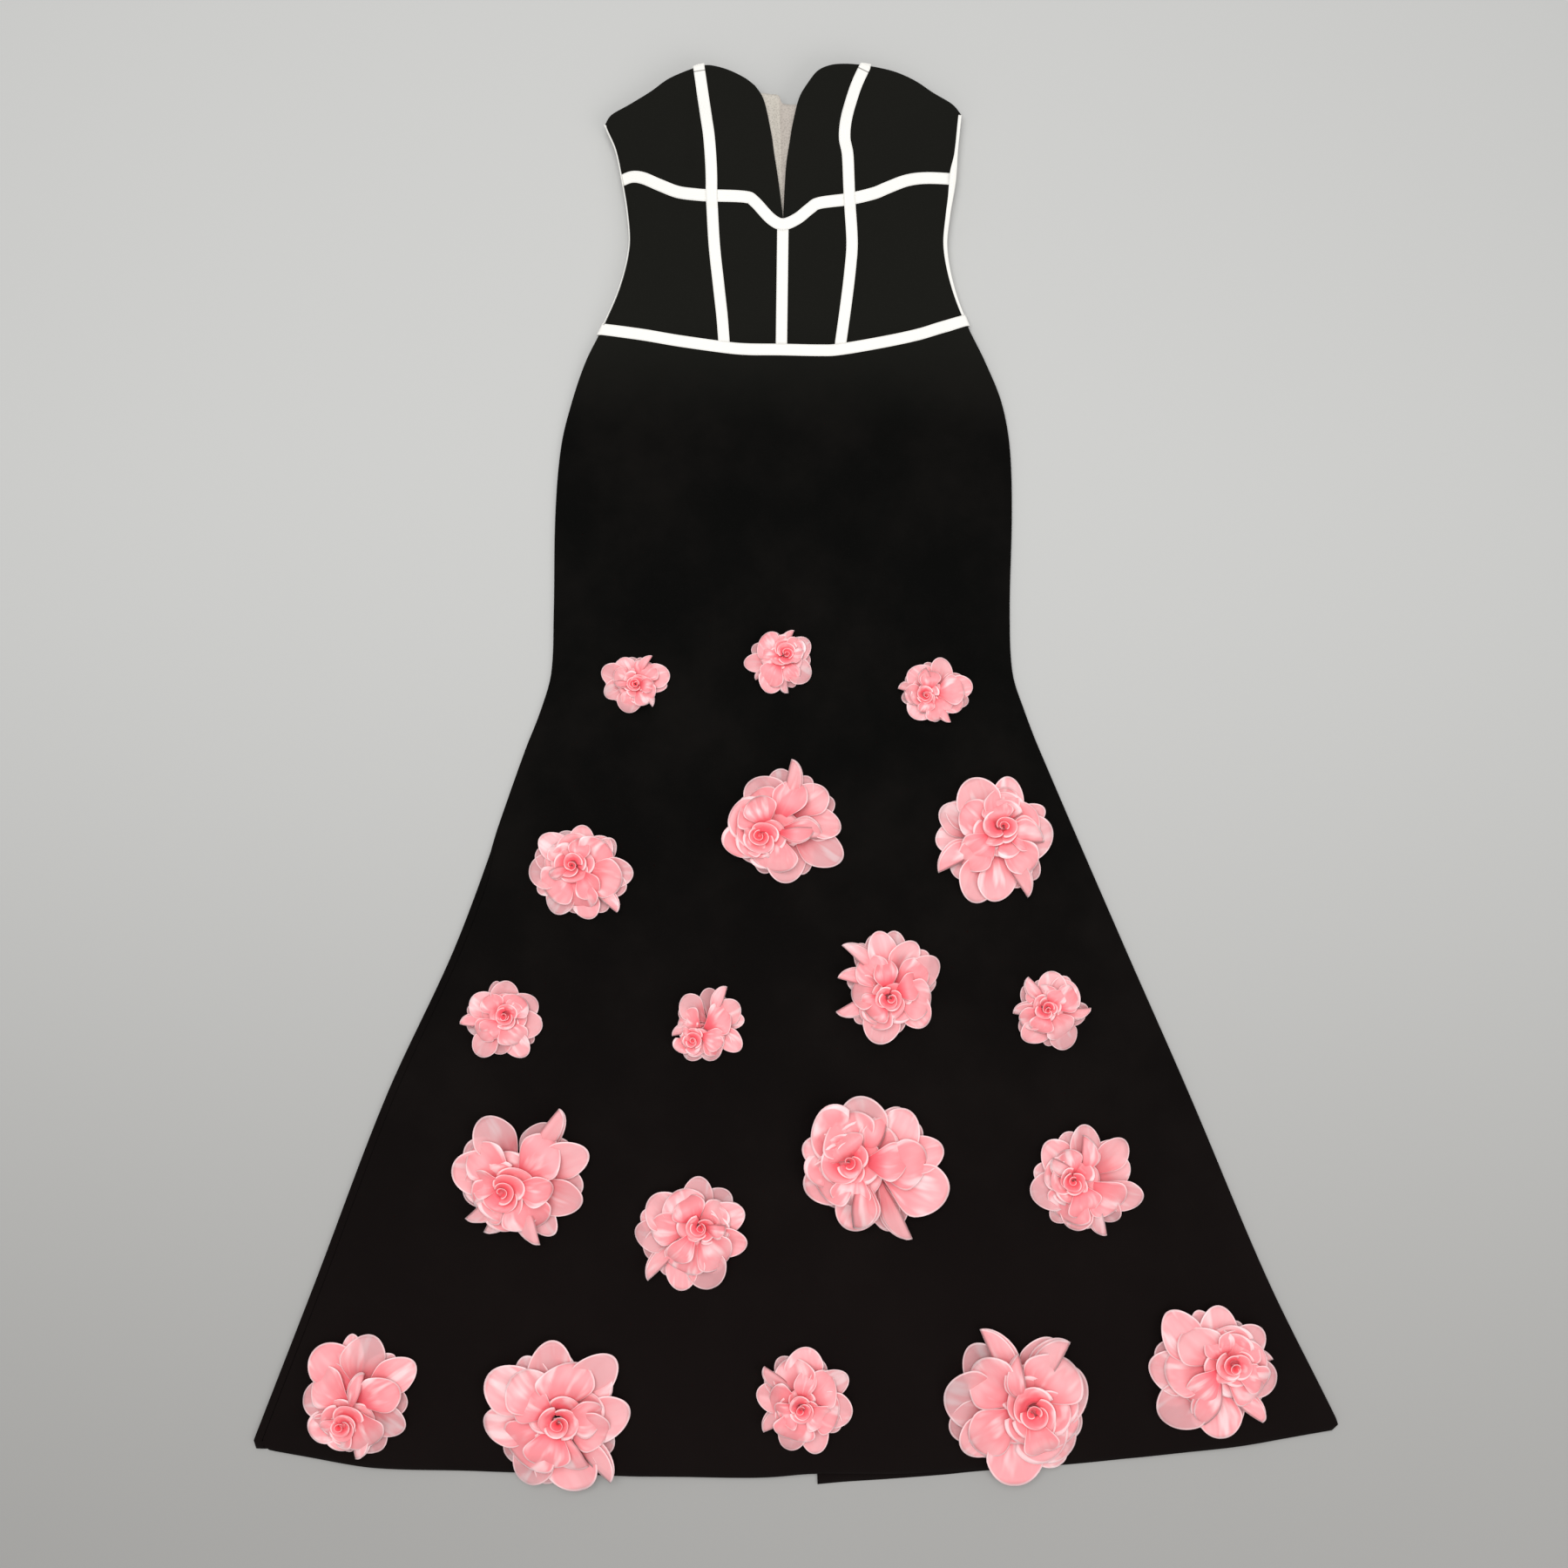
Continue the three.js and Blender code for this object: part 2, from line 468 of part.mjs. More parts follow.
function makeSkirt() {
  const waistLeft = waistPoints[0];
  const waistRight = waistPoints.at(-1);
  const rolledEdge = (y) => leftEdge(y) + rollWide * rollAt(y) + seamGap;
  const rows = skirtRows(leftHemY, waistLeft[1]);
  const hem = curve(hemFront);
  const hemTuck = rollWide + seamGap;
  const rolledHem = (t) => [hem(t)[0] + hemTuck * (1 - t) ** 8, hem(t)[1]];
  const waistTuck = (t) => [seams.waist(t)[0] + seamGap * (1 - t) ** 8, seams.waist(t)[1]];
  frontPanel('skirt_front', {
    left: alongSide(rolledEdge, leftHemY, waistLeft[1]),
    right: alongSide(rightEdge, rightHemY, waistRight[1]),
    bottom: rolledHem,
    top: waistTuck,
  }, evenly(20), rows);

  // The left half's edge is rolled over the front's, so its edge columns stand higher
  const lipHeight = (y, i) => (i < 2 ? (wall + seamGap) * rollAt(y) : 0);
  const lipColumns = (wide, y) => {
    const lip = Math.max(rollWide * rollAt(y), 0.5) / wide;
    return [0, lip, lip + 0.2 / wide, ...curlShares.slice(2)];
  };
  backPanel('skirt_back_left', {
    left: alongSide(leftEdge, leftHemY, waistLeft[1]),
    right: straight(hemBackLeft.at(-1), centreBackWaist),
    bottom: curve(hemBackLeft),
    top: part(seams.waist, 0, waistStop.centre),
  }, lipColumns, rows, lipHeight);
  backPanel('skirt_back_right', {
    left: straight(hemBackRight[0], centreBackWaist),
    right: alongSide(rightEdge, rightHemY, waistRight[1]),
    bottom: curve(hemBackRight),
    top: part(seams.waist, waistStop.centre, 1),
  }, fromRight(curlShares), rows);
}

function makeBodiceBack() {
  const neck = curve(backNeck);
  const neckMiddle = neck(0.5);
  const rows = evenly(13);
  backPanel('bodice_back_left', {
    left: alongSide(leftEdge, waistPoints[0][1], backNeck[0][1]),
    right: straight(centreBackWaist, neckMiddle),
    bottom: part(seams.waist, 0, waistStop.centre),
    top: part(neck, 0, 0.5),
  }, curlShares, rows);
  backPanel('bodice_back_right', {
    left: straight(centreBackWaist, neckMiddle),
    right: alongSide(rightEdge, waistPoints.at(-1)[1], backNeck.at(-1)[1]),
    bottom: part(seams.waist, waistStop.centre, 1),
    top: part(neck, 0.5, 1),
  }, fromRight(curlShares), rows);
}

// Reads a curve by one of its coordinates: axis 0 looks up x to give y, axis 1 the reverse
function lookUp(path, axis) {
  const points = evenly(160).map(path).sort((a, b) => a[axis] - b[axis]);
  return (value) => {
    const found = points.findIndex((point) => point[axis] >= value);
    const i = THREE.MathUtils.clamp(found < 0 ? points.length - 1 : found, 1, points.length - 1);
    const [a, b] = [points[i - 1], points[i]];
    const t = (value - a[axis]) / (b[axis] - a[axis]);
    return lerp(a[1 - axis], b[1 - axis], t);
  };
}

function makeNotchMesh() {
  const leftX = lookUp(seams.notchLeft, 1);
  const rightX = lookUp(seams.notchRight, 1);
  const byHeight = (x, shift, top) => (t) => {
    const y = lerp(notchFoot, top, t);
    return [x(y) + shift, y];
  };
  const foot = straight([leftX(notchFoot) - notchLap, notchFoot], [rightX(notchFoot) + notchLap, notchFoot]);
  const edges = {
    left: byHeight(leftX, -notchLap, notchTop[0][1]),
    right: byHeight(rightX, notchLap, notchTop.at(-1)[1]),
    bottom: foot,
    top: curve(notchTop),
  };
  const grid = planGrid(edges, evenly(6), evenly(8)).map((row) => row.map(([x, y]) => {
    const z = frontUnder(x, y) - meshBelow + foldRise(meshFold, x, y);
    return { inner: [x, y, z - meshThick], outer: [x, y, z] };
  }));
  addPiece('notch_mesh', shell(grid), meshNude);
}

// The edges and middle of a tape at share t of its path, left edge first
function tapeSides(path, t) {
  const step = 0.002;
  const [ax, ay] = path(Math.max(t - step, 0));
  const [bx, by] = path(Math.min(t + step, 1));
  const size = Math.hypot(bx - ax, by - ay);
  const right = [(by - ay) / size, (ax - bx) / size];
  const [x, y] = path(t);
  return [-1, 0, 1].map((side) => [x + side * right[0] * tapeWide / 2, y + side * right[1] * tapeWide / 2]);
}

function tapePair([x, y], rise = 0) {
  const z = skinHeight(x, y) + tapeClear + rise;
  return { inner: [x, y, z], outer: [x, y, z + tapeThick] };
}

// A tape's end turned round an edge of the cloth. The corner points lie outside the edge,
// out is the way off the cloth, and the lower leg runs back under the cloth.
function turnedEnd(corners, out, under) {
  const top = corners.map(([x, y]) => {
    const z = skinHeight(x - out[0] * 2 * wrapClear, y - out[1] * 2 * wrapClear) + tapeClear;
    return {
      inner: [x, y, z],
      outer: [x + out[0] * tapeThick, y + out[1] * tapeThick, z + tapeThick],
    };
  });
  const low = corners.map(([x, y]) => {
    const z = under(x - out[0] * 2 * wrapClear, y - out[1] * 2 * wrapClear) - tapeClear;
    return {
      inner: [x, y, z],
      outer: [x + out[0] * tapeThick, y + out[1] * tapeThick, z - tapeThick],
    };
  });
  const leg = corners.map(([x, y]) => {
    const [px, py] = [x - out[0] * wrapDeep, y - out[1] * wrapDeep];
    const z = under(px, py) - tapeClear;
    return { inner: [px, py, z], outer: [px, py, z - tapeThick] };
  });
  return [top, low, leg];
}

function makeTapes() {
  const waistY = lookUp(seams.waist, 0);
  const underbustY = lookUp(seams.underbust, 0);
  const half = tapeWide / 2;
  const butt = half + 0.5;

  // Across the waist, its ends turned round the side seams to the back
  const waistRows = evenly(26).slice(1, -1).map((t) => tapeSides(seams.waist, t).map((p) => tapePair(p)));
  const waistEnd = (t, edge, way) => {
    const corners = tapeSides(seams.waist, t).map(([, y]) => [edge(y) + way * wrapClear, y]);
    return turnedEnd(corners, [way, 0], backUnder);
  };
  const waistStart = waistEnd(0, leftEdge, -1).reverse();
  addPiece('tape_waist', shell([...waistStart, ...waistRows, ...waistEnd(1, rightEdge, 1)]), tapeWhite);

  // Under the bust, from side tape to side tape
  const flangeAt = (y) => readColumn(rightFlange, 'wide', y);
  const underbustSides = evenly(38).slice(1, -1).map((t) => tapeSides(seams.underbust, t));
  const underbustRows = underbustSides.map((sides) => sides.map((p) => tapePair(p)));
  const startSides = tapeSides(seams.underbust, 0).map(([, y]) => [leftEdge(y) + leftFlange + 0.5, y]);
  const endSides = tapeSides(seams.underbust, 1).map(([, y]) => [rightEdge(y) - flangeAt(y) - 0.5, y]);
  underbustRows.unshift(startSides.map((p) => tapePair(p)));
  underbustRows.push(endSides.map((p) => tapePair(p)));
  addPiece('tape_underbust', shell(underbustRows), tapeWhite);

  // Up the centre front, between the waist and underbust tapes
  const centreRows = evenly(8).map((t) => tapeSides(seams.centre, t).map(([x, y]) => {
    const low = waistY(x) + butt;
    const high = underbustY(x) - butt - 1.2;
    return tapePair([x, THREE.MathUtils.clamp(lerp(low, high, t), low, high)]);
  }));
  addPiece('tape_centre', shell(centreRows), tapeWhite);

  // Up the princess seams, over the underbust tape, the top turned over the neckline
  const princess = (name, lowPart, highPart, neckY) => {
    const path = (t) => (t < 0.5 ? lowPart(t * 2) : highPart(t * 2 - 1));
    const crossing = path(0.5)[1];
    const foot = path(0)[1] + butt;
    const head = path(1)[1] - 1.5;
    const levels = [
      ...evenly(10).map((t) => lerp(foot, crossing - 12, t)), crossing - 6.4, crossing + 6.4,
      ...evenly(13).map((t) => lerp(crossing + 12, head, t)),
    ];
    const shareAt = lookUp((t) => [t, path(t)[1]], 1);
    const rows = levels.map((level, k) => tapeSides(path, shareAt(level)).map(([x, y]) => {
      const lifted = k === 11 || k === 12 ? tapeThick + humpClear : 0;
      return tapePair([x, k === 0 ? waistY(x) + butt : y], lifted);
    }));
    const corners = tapeSides(path, 1).map(([x]) => [x, neckY(x) + wrapClear]);
    addPiece(name, shell([...rows, ...turnedEnd(corners, [0, 1], frontUnder)]), tapeWhite);
  };
  const neckOver = (first, second) => (
    lookUp((t) => (t < 0.5 ? curve(first)(t * 2) : curve(second)(t * 2 - 1)), 0));
  const neckLeft = neckOver(neckSideLeft, neckCentreLeft);
  const neckRight = neckOver(neckCentreRight, neckSideRight);
  princess('tape_princess_left', seams.princessLeftLow, seams.princessLeftHigh, neckLeft);
  princess('tape_princess_right', seams.princessRightLow, seams.princessRightHigh, neckRight);

  // Round the side seams, from the waist tape to the corners
  const sideTape = (name, edge, way, flange, topY) => {
    const footY = waistY(edge(405)) + butt + 1;
    const rows = evenly(16).map((t) => {
      const y = lerp(footY, topY, t);
      const corner = [[edge(y) + way * wrapClear, y]];
      const [top, low] = turnedEnd(corner, [way, 0], backUnder).map((pairs) => pairs[0]);
      const legX = edge(y) - way * hiddenFlange;
      const legZ = backUnder(legX, y) - tapeClear;
      const leg = { inner: [legX, y, legZ], outer: [legX, y, legZ - tapeThick] };
      const lip = tapePair([edge(y) - way * flange(y), y]);
      return way > 0 ? [lip, top, low, leg] : [leg, low, top, lip];
    });
    addPiece(name, shell(rows), tapeWhite);
  };
  sideTape('tape_side_left', leftEdge, -1, () => leftFlange, neckSideLeft[0][1] - 1);
  sideTape('tape_side_right', rightEdge, 1, flangeAt, neckSideRight.at(-1)[1] - 1);
}

// A number between -1 and 1 that differs for each flower and petal
function vary(flower, petal, salt) {
  const value = Math.sin((flower + 1) * 12.9898 + (petal + 1) * 78.233 + salt * 37.719) * 43758.5453;
  return (value - Math.floor(value)) * 2 - 1;
}

const turnsApart = (a, b) => Math.abs(((a - b + 540) % 360 + 360) % 360 - 180);

// The outer petals, uneven as on the real flower: where each starts, its span and its reach
function petalPlan(flower, index) {
  const count = flower.petals;
  const room = 360 - flower.open;
  const first = flower.turn + flower.open / 2;
  const middles = Array.from({ length: count }, (_, k) => first + (room * (k + 0.5)) / count);
  const nearest = (bearing) => middles.reduce(
    (best, value, k) => (turnsApart(value, bearing) < turnsApart(middles[best], bearing) ? k : best), 0);
  const slim = nearest(flower.slim);
  const long = nearest(flower.long);
  const weights = middles.map((_, k) => {
    if (k === slim) return 0.55;
    return k === long ? 1.3 : 1 + 0.3 * vary(index, k, 2);
  });
  const total = weights.reduce((sum, weight) => sum + weight, 0);
  let start = first;
  return weights.map((weight, k) => {
    const reach = k === slim || k === long ? 1.03 : 0.92 + 0.07 * vary(index, k, 0);
    const petal = { start, span: (room * weight) / total, reach };
    start += petal.span;
    return petal;
  });
}

// The outer petals' edge round a flower, scaled to its measured size
function petalRing(flower, index) {
  const bearings = [];
  const points = [];
  petalPlan(flower, index).forEach((petal, k) => {
    for (const { share, drawn } of petalEnd) {
      const atGap = share === 0 && k === 0 && flower.open > 0;
      const degrees = atGap ? flower.turn : petal.start + petal.span * share;
      const bearing = THREE.MathUtils.degToRad(degrees);
      const notch = share === 0 ? flowerRings[0].notch + 0.04 * vary(index, k, 1) : drawn;
      const reach = atGap ? gapReach : petal.reach * (1 - notch);
      bearings.push(bearing);
      points.push([Math.cos(bearing) * reach, Math.sin(bearing) * reach]);
    }
  });
  const spread = (axis) => {
    const values = points.map((point) => point[axis]);
    return { low: Math.min(...values), high: Math.max(...values) };
  };
  const [across, along] = [spread(0), spread(1)];
  const outline = points.map(([x, y]) => [
    ((x - across.low) / (across.high - across.low) - 0.5) * flower.wide,
    ((y - along.low) / (along.high - along.low) - 0.5) * flower.tall,
  ]);
  return { bearings, outline };
}

// A flower: rings of points from its stitched middle out under the petals and back up
// over three tiers to the bud, closed at both poles
function makeFlower(flower, index) {
  const { bearings, outline } = petalRing(flower, index);
  const count = bearings.length;
  const budX = flower.budX * flower.wide / 2;
  const budY = flower.budY * flower.tall / 2;
  const samples = petalEnd.length;
  const positions = [];
  const addPoint = (x, y, rise) => {
    positions.push(flower.x + x, flower.y + y, skinHeight(flower.x + x, flower.y + y) + rise);
  };
  addPoint(0, 0, flowerSeat);
  outline.forEach(([x, y]) => addPoint(x * underReach, y * underReach, flowerSeat));
  for (const ring of flowerRings) {
    const toBud = Math.min((1 - ring.reach) * 1.2, 1);
    for (let k = 0; k < count; k += 1) {
      const rise = ring.height * flower.high;
      if (ring.reach === 1) {
        addPoint(...outline[k], rise);
        continue;
      }
      const petalEdge = (k + ring.turned) % samples === 0 ? ring.notch : 0;
      const reach = ring.reach * (1 - petalEdge);
      const x = Math.cos(bearings[k]) * reach * flower.wide / 2 + budX * toBud;
      const y = Math.sin(bearings[k]) * reach * flower.tall / 2 + budY * toBud;
      addPoint(x, y, rise);
    }
  }
  addPoint(budX, budY, budHollow * flower.high);
  const faces = [];
  const rings = flowerRings.length + 1;
  const at = (ring, k) => 1 + ring * count + (k % count);
  const pole = 1 + rings * count;
  for (let k = 0; k < count; k += 1) {
    faces.push(0, at(0, k + 1), at(0, k));
    faces.push(pole, at(rings - 1, k), at(rings - 1, k + 1));
    for (let ring = 0; ring + 1 < rings; ring += 1) {
      const [a, b, c, d] = [at(ring, k), at(ring, k + 1), at(ring + 1, k + 1), at(ring + 1, k)];
      faces.push(a, b, c, a, c, d);
    }
  }
  const geometry = new THREE.BufferGeometry();
  geometry.setAttribute('position', new THREE.Float32BufferAttribute(positions, 3));
  geometry.setIndex(faces);
  geometry.computeVertexNormals();
  addPiece(`flower_${String(index + 1).padStart(2, '0')}`, geometry, petalPink);
}

makeCups();
makeMidriff();
makeSkirt();
makeBodiceBack();
makeNotchMesh();
makeTapes();
flowers.forEach(makeFlower);
dress.position.set(...middle, 0);

export default dress;
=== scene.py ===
# A strapless gown of black bandage knit with satin flowers, laid out flat on its back.
# Sizes are in millimetres in the tables, and left and right are as seen from above.
import math
import random

import bmesh
import bpy
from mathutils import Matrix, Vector, noise


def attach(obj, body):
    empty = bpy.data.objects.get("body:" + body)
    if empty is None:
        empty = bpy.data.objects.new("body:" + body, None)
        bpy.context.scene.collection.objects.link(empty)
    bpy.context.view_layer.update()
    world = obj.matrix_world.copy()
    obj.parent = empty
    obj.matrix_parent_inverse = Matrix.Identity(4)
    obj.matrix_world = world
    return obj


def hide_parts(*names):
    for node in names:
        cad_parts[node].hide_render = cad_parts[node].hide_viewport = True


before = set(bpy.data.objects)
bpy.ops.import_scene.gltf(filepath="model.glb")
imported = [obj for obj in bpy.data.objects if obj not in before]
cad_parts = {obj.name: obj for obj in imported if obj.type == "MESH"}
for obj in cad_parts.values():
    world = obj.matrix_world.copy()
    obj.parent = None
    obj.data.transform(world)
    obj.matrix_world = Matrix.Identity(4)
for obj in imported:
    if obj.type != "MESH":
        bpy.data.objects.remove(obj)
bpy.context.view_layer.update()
print("frame loaded")

mm = 0.001
middle = (0.16, 0.8)  # shift that centres the dress on the frame's origin

form = {
    "wall": 1.5,        # thickness of the knit in the solids
    "knit": 1.3,        # thickness of the knit here
    "gap": 0.3,
    "hemCorner": 9,
    "curlWide": 22,     # how far in the back lifts towards the side seams
    "rollWide": 8,      # back cloth rolled round to the front at the left side
    "rollFrom": -40,
    "rollFull": -100,
    # y, left edge, right edge, height of the side seam, rise of the front's middle
    "sections": [
        (600, -172, 148, 10, 11),
        (585, -170.2, 146.4, 10, 13),
        (563, -161, 144.2, 10, 16),
        (536, -155.2, 142.4, 10, 15),
        (505, -150.2, 137.3, 9.5, 14),
        (476, -149, 134.7, 9, 12),
        (441, -157.4, 141.1, 8, 9),
        (407, -172.2, 153.8, 6.5, 7),
        (376, -188.2, 169.4, 5, 5.6),
        (340, -201, 184.5, 3.5, 5),
        (300, -211, 192.3, 2.5, 4.6),
        (240, -216.3, 194.4, 2, 4.4),
        (150, -217.6, 192.5, 1.9, 4),
        (95, -219.8, 195.2, 1.8, 3.7),
        (60, -229.8, 206.3, 1.8, 3.5),
        (27, -242.7, 219.1, 1.8, 3.3),
        (-145, -304.6, 293.3, 1.8, 2.9),
        (-285, -368.9, 354.8, 1.8, 2.6),
        (-451, -432.4, 425, 1.8, 2.3),
        (-571, -479, 484.2, 1.8, 2.1),
        (-606, -492.6, 500.5, 1.8, 2),
    ],
    # name, start, end, width, rise: a trough has a negative rise
    "folds": [
        ("left bust", (-92, 566), (-84, 552), 42, 7),
        ("right bust", (62, 570), (56, 552), 40, 7),
        ("left cup trough", (-99, 604), (-98, 542), 9, -3),
        ("right cup crease", (22, 562), (76, 569), 11, -2.4),
        ("left hollow", (-52, 450), (-50, 424), 15, -2.6),
        ("right hollow", (17, 462), (16, 436), 13, -2.2),
        ("left waist hollow", (-131, 466), (-134, 428), 14, -2.2),
        ("right hip crease", (143, 398), (102, 342), 12, -2.4),
        ("right hip tail", (102, 342), (60, 200), 20, -1.4),
        ("left hip crease", (-150, 372), (-112, 318), 15, -1.2),
        ("left ridge", (-250, -60), (-392, -600), 34, 2.8),
        ("left valley", (-190, -90), (-300, -610), 30, -1.6),
        ("mid left ridge", (-120, 0), (-150, -620), 42, 2.2),
        ("mid right ridge", (60, 20), (96, -620), 46, 1.8),
        ("right valley", (150, -60), (268, -600), 30, -1.4),
        ("right ridge", (215, -80), (395, -580), 36, 2.4),
    ],
    # soft creases too small for the solids
    "creases": [
        ("left cup pull", (-140, 588), (-108, 560), 5, -0.8),
        ("left cup side pull", (-150, 548), (-118, 552), 4, 0.5),
        ("right cup pull", (126, 590), (98, 566), 5, -0.7),
        ("right cup centre pull", (14, 590), (22, 548), 4, -0.5),
        ("left midriff pull", (-112, 508), (-96, 440), 6, -0.6),
        ("right midriff pull", (96, 512), (84, 430), 6, -0.6),
        ("right waist pull", (132, 470), (112, 428), 6, -0.7),
        ("left seat ripple", (-186, 330), (-150, 260), 7, 0.6),
        ("right seat ripple", (170, 300), (130, 236), 7, 0.6),
        ("middle ripple", (-40, 372), (-26, 250), 9, -0.6),
        ("left thigh ripple", (-176, 180), (-196, 40), 8, 0.7),
        ("right thigh ripple", (150, 190), (176, 40), 8, 0.7),
        ("left flare ripple", (-300, -200), (-420, -560), 9, -0.7),
        ("middle flare ripple", (-20, -80), (-40, -560), 10, 0.6),
        ("right flare ripple", (280, -220), (440, -560), 9, -0.7),
        ("left hem ripple", (-420, -590), (-360, -500), 8, 0.6),
    ],
    # the back's own shallow creases, on the side that lies down
    "backCreases": [
        ("back waist pull", (-70, 430), (-92, 350), 7, 0.7),
        ("back waist pull right", (60, 440), (78, 352), 7, 0.7),
        ("seat ripple", (-120, 300), (-90, 180), 9, 0.6),
        ("seat ripple right", (110, 290), (96, 170), 9, 0.6),
        ("flare ripple", (-210, -120), (-300, -520), 11, 0.7),
        ("flare ripple right", (180, -110), (270, -540), 11, 0.7),
        ("neck ripple", (-90, 508), (-60, 470), 6, 0.5),
    ],
}
seamLines = {
    "princessLeftLow": [(-63.9, 386.2), (-65.8, 411.6), (-68.8, 439), (-72.6, 476), (-74.7, 516.7)],
    "princessLeftHigh": [(-74.7, 516.7), (-74.9, 539.9), (-76.7, 566), (-79.8, 587.9), (-86.4, 633.9)],
    "princessRightLow": [(39.2, 384.3), (44.6, 423), (48.4, 455), (49.8, 478.7), (47.3, 513.6)],
    "princessRightHigh": [
        (47.3, 513.6), (46.4, 534.5), (45.4, 552), (43, 567), (44.6, 584), (50.3, 605.8), (55.4, 620.2),
        (62.1, 634.7),
    ],
    "underbust": [
        (-155.1, 535.5), (-146, 537.6), (-136, 535.4), (-121.5, 528.3), (-105, 521), (-88.6, 517.9),
        (-74.7, 516.7), (-45.3, 515.6), (-36.8, 511.7), (-22.2, 496.7), (-11.5, 492), (1, 496.7),
        (12.6, 505.6), (21, 510.2), (47.3, 513.6), (68.2, 518.7), (80.7, 524.1), (98.7, 531.8),
        (116.8, 535.3), (142.45, 536.4),
    ],
    "waist": [
        (-173.9, 403.5), (-137.7, 398), (-104, 392), (-63.9, 386.2), (-43.3, 384.4), (-12.9, 384),
        (21.3, 383.4), (39.2, 384.3), (75.1, 390.4), (108.6, 397.7), (131.4, 405), (151.9, 411.3),
    ],
    "neckSideLeft": [
        (-170.4, 585.5), (-164.8, 593.7), (-148.9, 601.7), (-129.3, 612.5), (-112, 624), (-86.4, 633.9),
    ],
    "neckCentreLeft": [(-86.4, 633.9), (-76.3, 634.6), (-60.8, 630.5), (-45.4, 622.9), (-36.1, 615.7)],
    "neckCentreRight": [(8.7, 615.7), (18.8, 628.8), (30.8, 634.4), (45.1, 635.7), (62.1, 634.7)],
    "neckSideRight": [
        (62.1, 634.7), (86.3, 630.2), (105.8, 622.6), (122.3, 612.6), (139.6, 603.4), (147.4, 594.9),
    ],
    "notchLeft": [
        (-11.5, 492), (-11.8, 501), (-16, 533.3), (-19.1, 552.2), (-22.1, 572.6), (-28.3, 602.4),
        (-36.1, 615.7),
    ],
    "notchRight": [
        (-11.5, 492), (-11.2, 501), (-9, 540.6), (-6, 561.1), (-2.9, 580.7), (2.5, 604), (8.7, 615.7),
    ],
    "centre": [(-12.9, 384), (-12.7, 437.6), (-11.5, 492)],
    "backNeck": [
        (-170.4, 585.5), (-120, 545), (-70, 510), (-11.5, 494), (46, 510), (96, 547), (147.4, 594.9),
    ],
    "hemFront": [
        (-482.4, -603.7), (-463, -606.8), (-412, -614.7), (-369, -620.1), (-310, -622.5), (-167.5, -625.6),
        (-42.7, -628.4), (16.1, -624.8), (82.7, -624.1), (169, -620.9), (263.9, -614.7), (387.9, -601.3),
        (482.6, -586.4),
    ],
    "hemBackLeft": [
        (-482.4, -603.7), (-455, -604.5), (-412, -610), (-310, -619), (-167.5, -622.4), (-42.7, -625.4),
        (19.2, -624),
    ],
    "hemBackRight": [
        (19.6, -635.7), (45.2, -633.4), (82.8, -631), (133.1, -627.1), (169.2, -623.6), (263.9, -616.2),
        (387.9, -602), (482.6, -586.4),
    ],
}
centreBackWaist = (-12.9, 384)


def clamp(value, low=0.0, high=1.0):
    return max(low, min(high, value))


def smooth(t):
    t = clamp(t)
    return t * t * (3 - 2 * t)


def lerp(a, b, t):
    return a + (b - a) * t


def readColumn(rows, column, y):
    # a smooth value between the rows of a table that runs down the dress
    last = len(rows) - 1
    if y >= rows[0][0]:
        return rows[0][column]
    if y <= rows[last][0]:
        return rows[last][column]
    i = next(k for k, row in enumerate(rows) if row[0] < y) - 1

    def slope(k):
        above, below = rows[max(k - 1, 0)], rows[min(k + 1, last)]
        return (below[column] - above[column]) / (below[0] - above[0])

    span = rows[i + 1][0] - rows[i][0]
    t = (y - rows[i][0]) / span
    a, b = rows[i][column], rows[i + 1][column]
    return ((2 * t**3 - 3 * t**2 + 1) * a + (t**3 - 2 * t**2 + t) * span * slope(i)
            + (3 * t**2 - 2 * t**3) * b + (t**3 - t**2) * span * slope(i + 1))


def curve(points):
    # a smooth curve through points, read at a share t of its stretches
    last = len(points) - 1

    def at(t):
        place = clamp(t) * last
        i = min(int(place), last - 1)
        w = place - i
        p = [points[clampIndex(i + k, last)] for k in (-1, 0, 1, 2)]
        found = []
        for axis in (0, 1):
            a, b, c, d = (point[axis] for point in p)
            out, back = (c - a) / 2, (d - b) / 2
            cubic, square = 2 * b - 2 * c + out + back, -3 * b + 3 * c - 2 * out - back
            found.append(cubic * w**3 + square * w**2 + out * w + b)
        return found

    return at


def clampIndex(i, last):
    return max(0, min(last, i))


def straight(a, b):
    return lambda t: [lerp(a[0], b[0], t), lerp(a[1], b[1], t)]


def stretch(path, start, end):
    return lambda t: path(lerp(start, end, t))


def twoPart(first, second):
    return lambda t: first(t * 2) if t < 0.5 else second(t * 2 - 1)


def alongSide(edge, fromY, toY):
    return lambda t: [edge(lerp(fromY, toY, t)), lerp(fromY, toY, t)]


def lookUp(path, axis):
    # reads a curve by one of its coordinates
    points = sorted((path(k / 240) for k in range(241)), key=lambda point: point[axis])

    def read(value):
        i = clampIndex(next((k for k, point in enumerate(points) if point[axis] >= value), 240), 240)
        a, b = points[max(i, 1) - 1], points[max(i, 1)]
        return lerp(a[1 - axis], b[1 - axis], (value - a[axis]) / ((b[axis] - a[axis]) or 1))

    return read


seams = {name: curve(points) for name, points in seamLines.items()}


def cornerInset(y, hemY):
    above = y - hemY
    size = form["hemCorner"]
    return 0 if above >= size else size - math.sqrt(size**2 - (size - above) ** 2)


leftHemY = seamLines["hemFront"][0][1]
rightHemY = seamLines["hemFront"][-1][1]
# where each side seam meets the waist, the seam under the bust and the neckline
sideLevels = {
    side: [seamLines[name][end][1] for name in ("waist", "underbust", "backNeck")]
    for side, end in (("left", 0), ("right", -1))
}


def leftEdge(y):
    return readColumn(form["sections"], 1, y) + cornerInset(y, leftHemY)


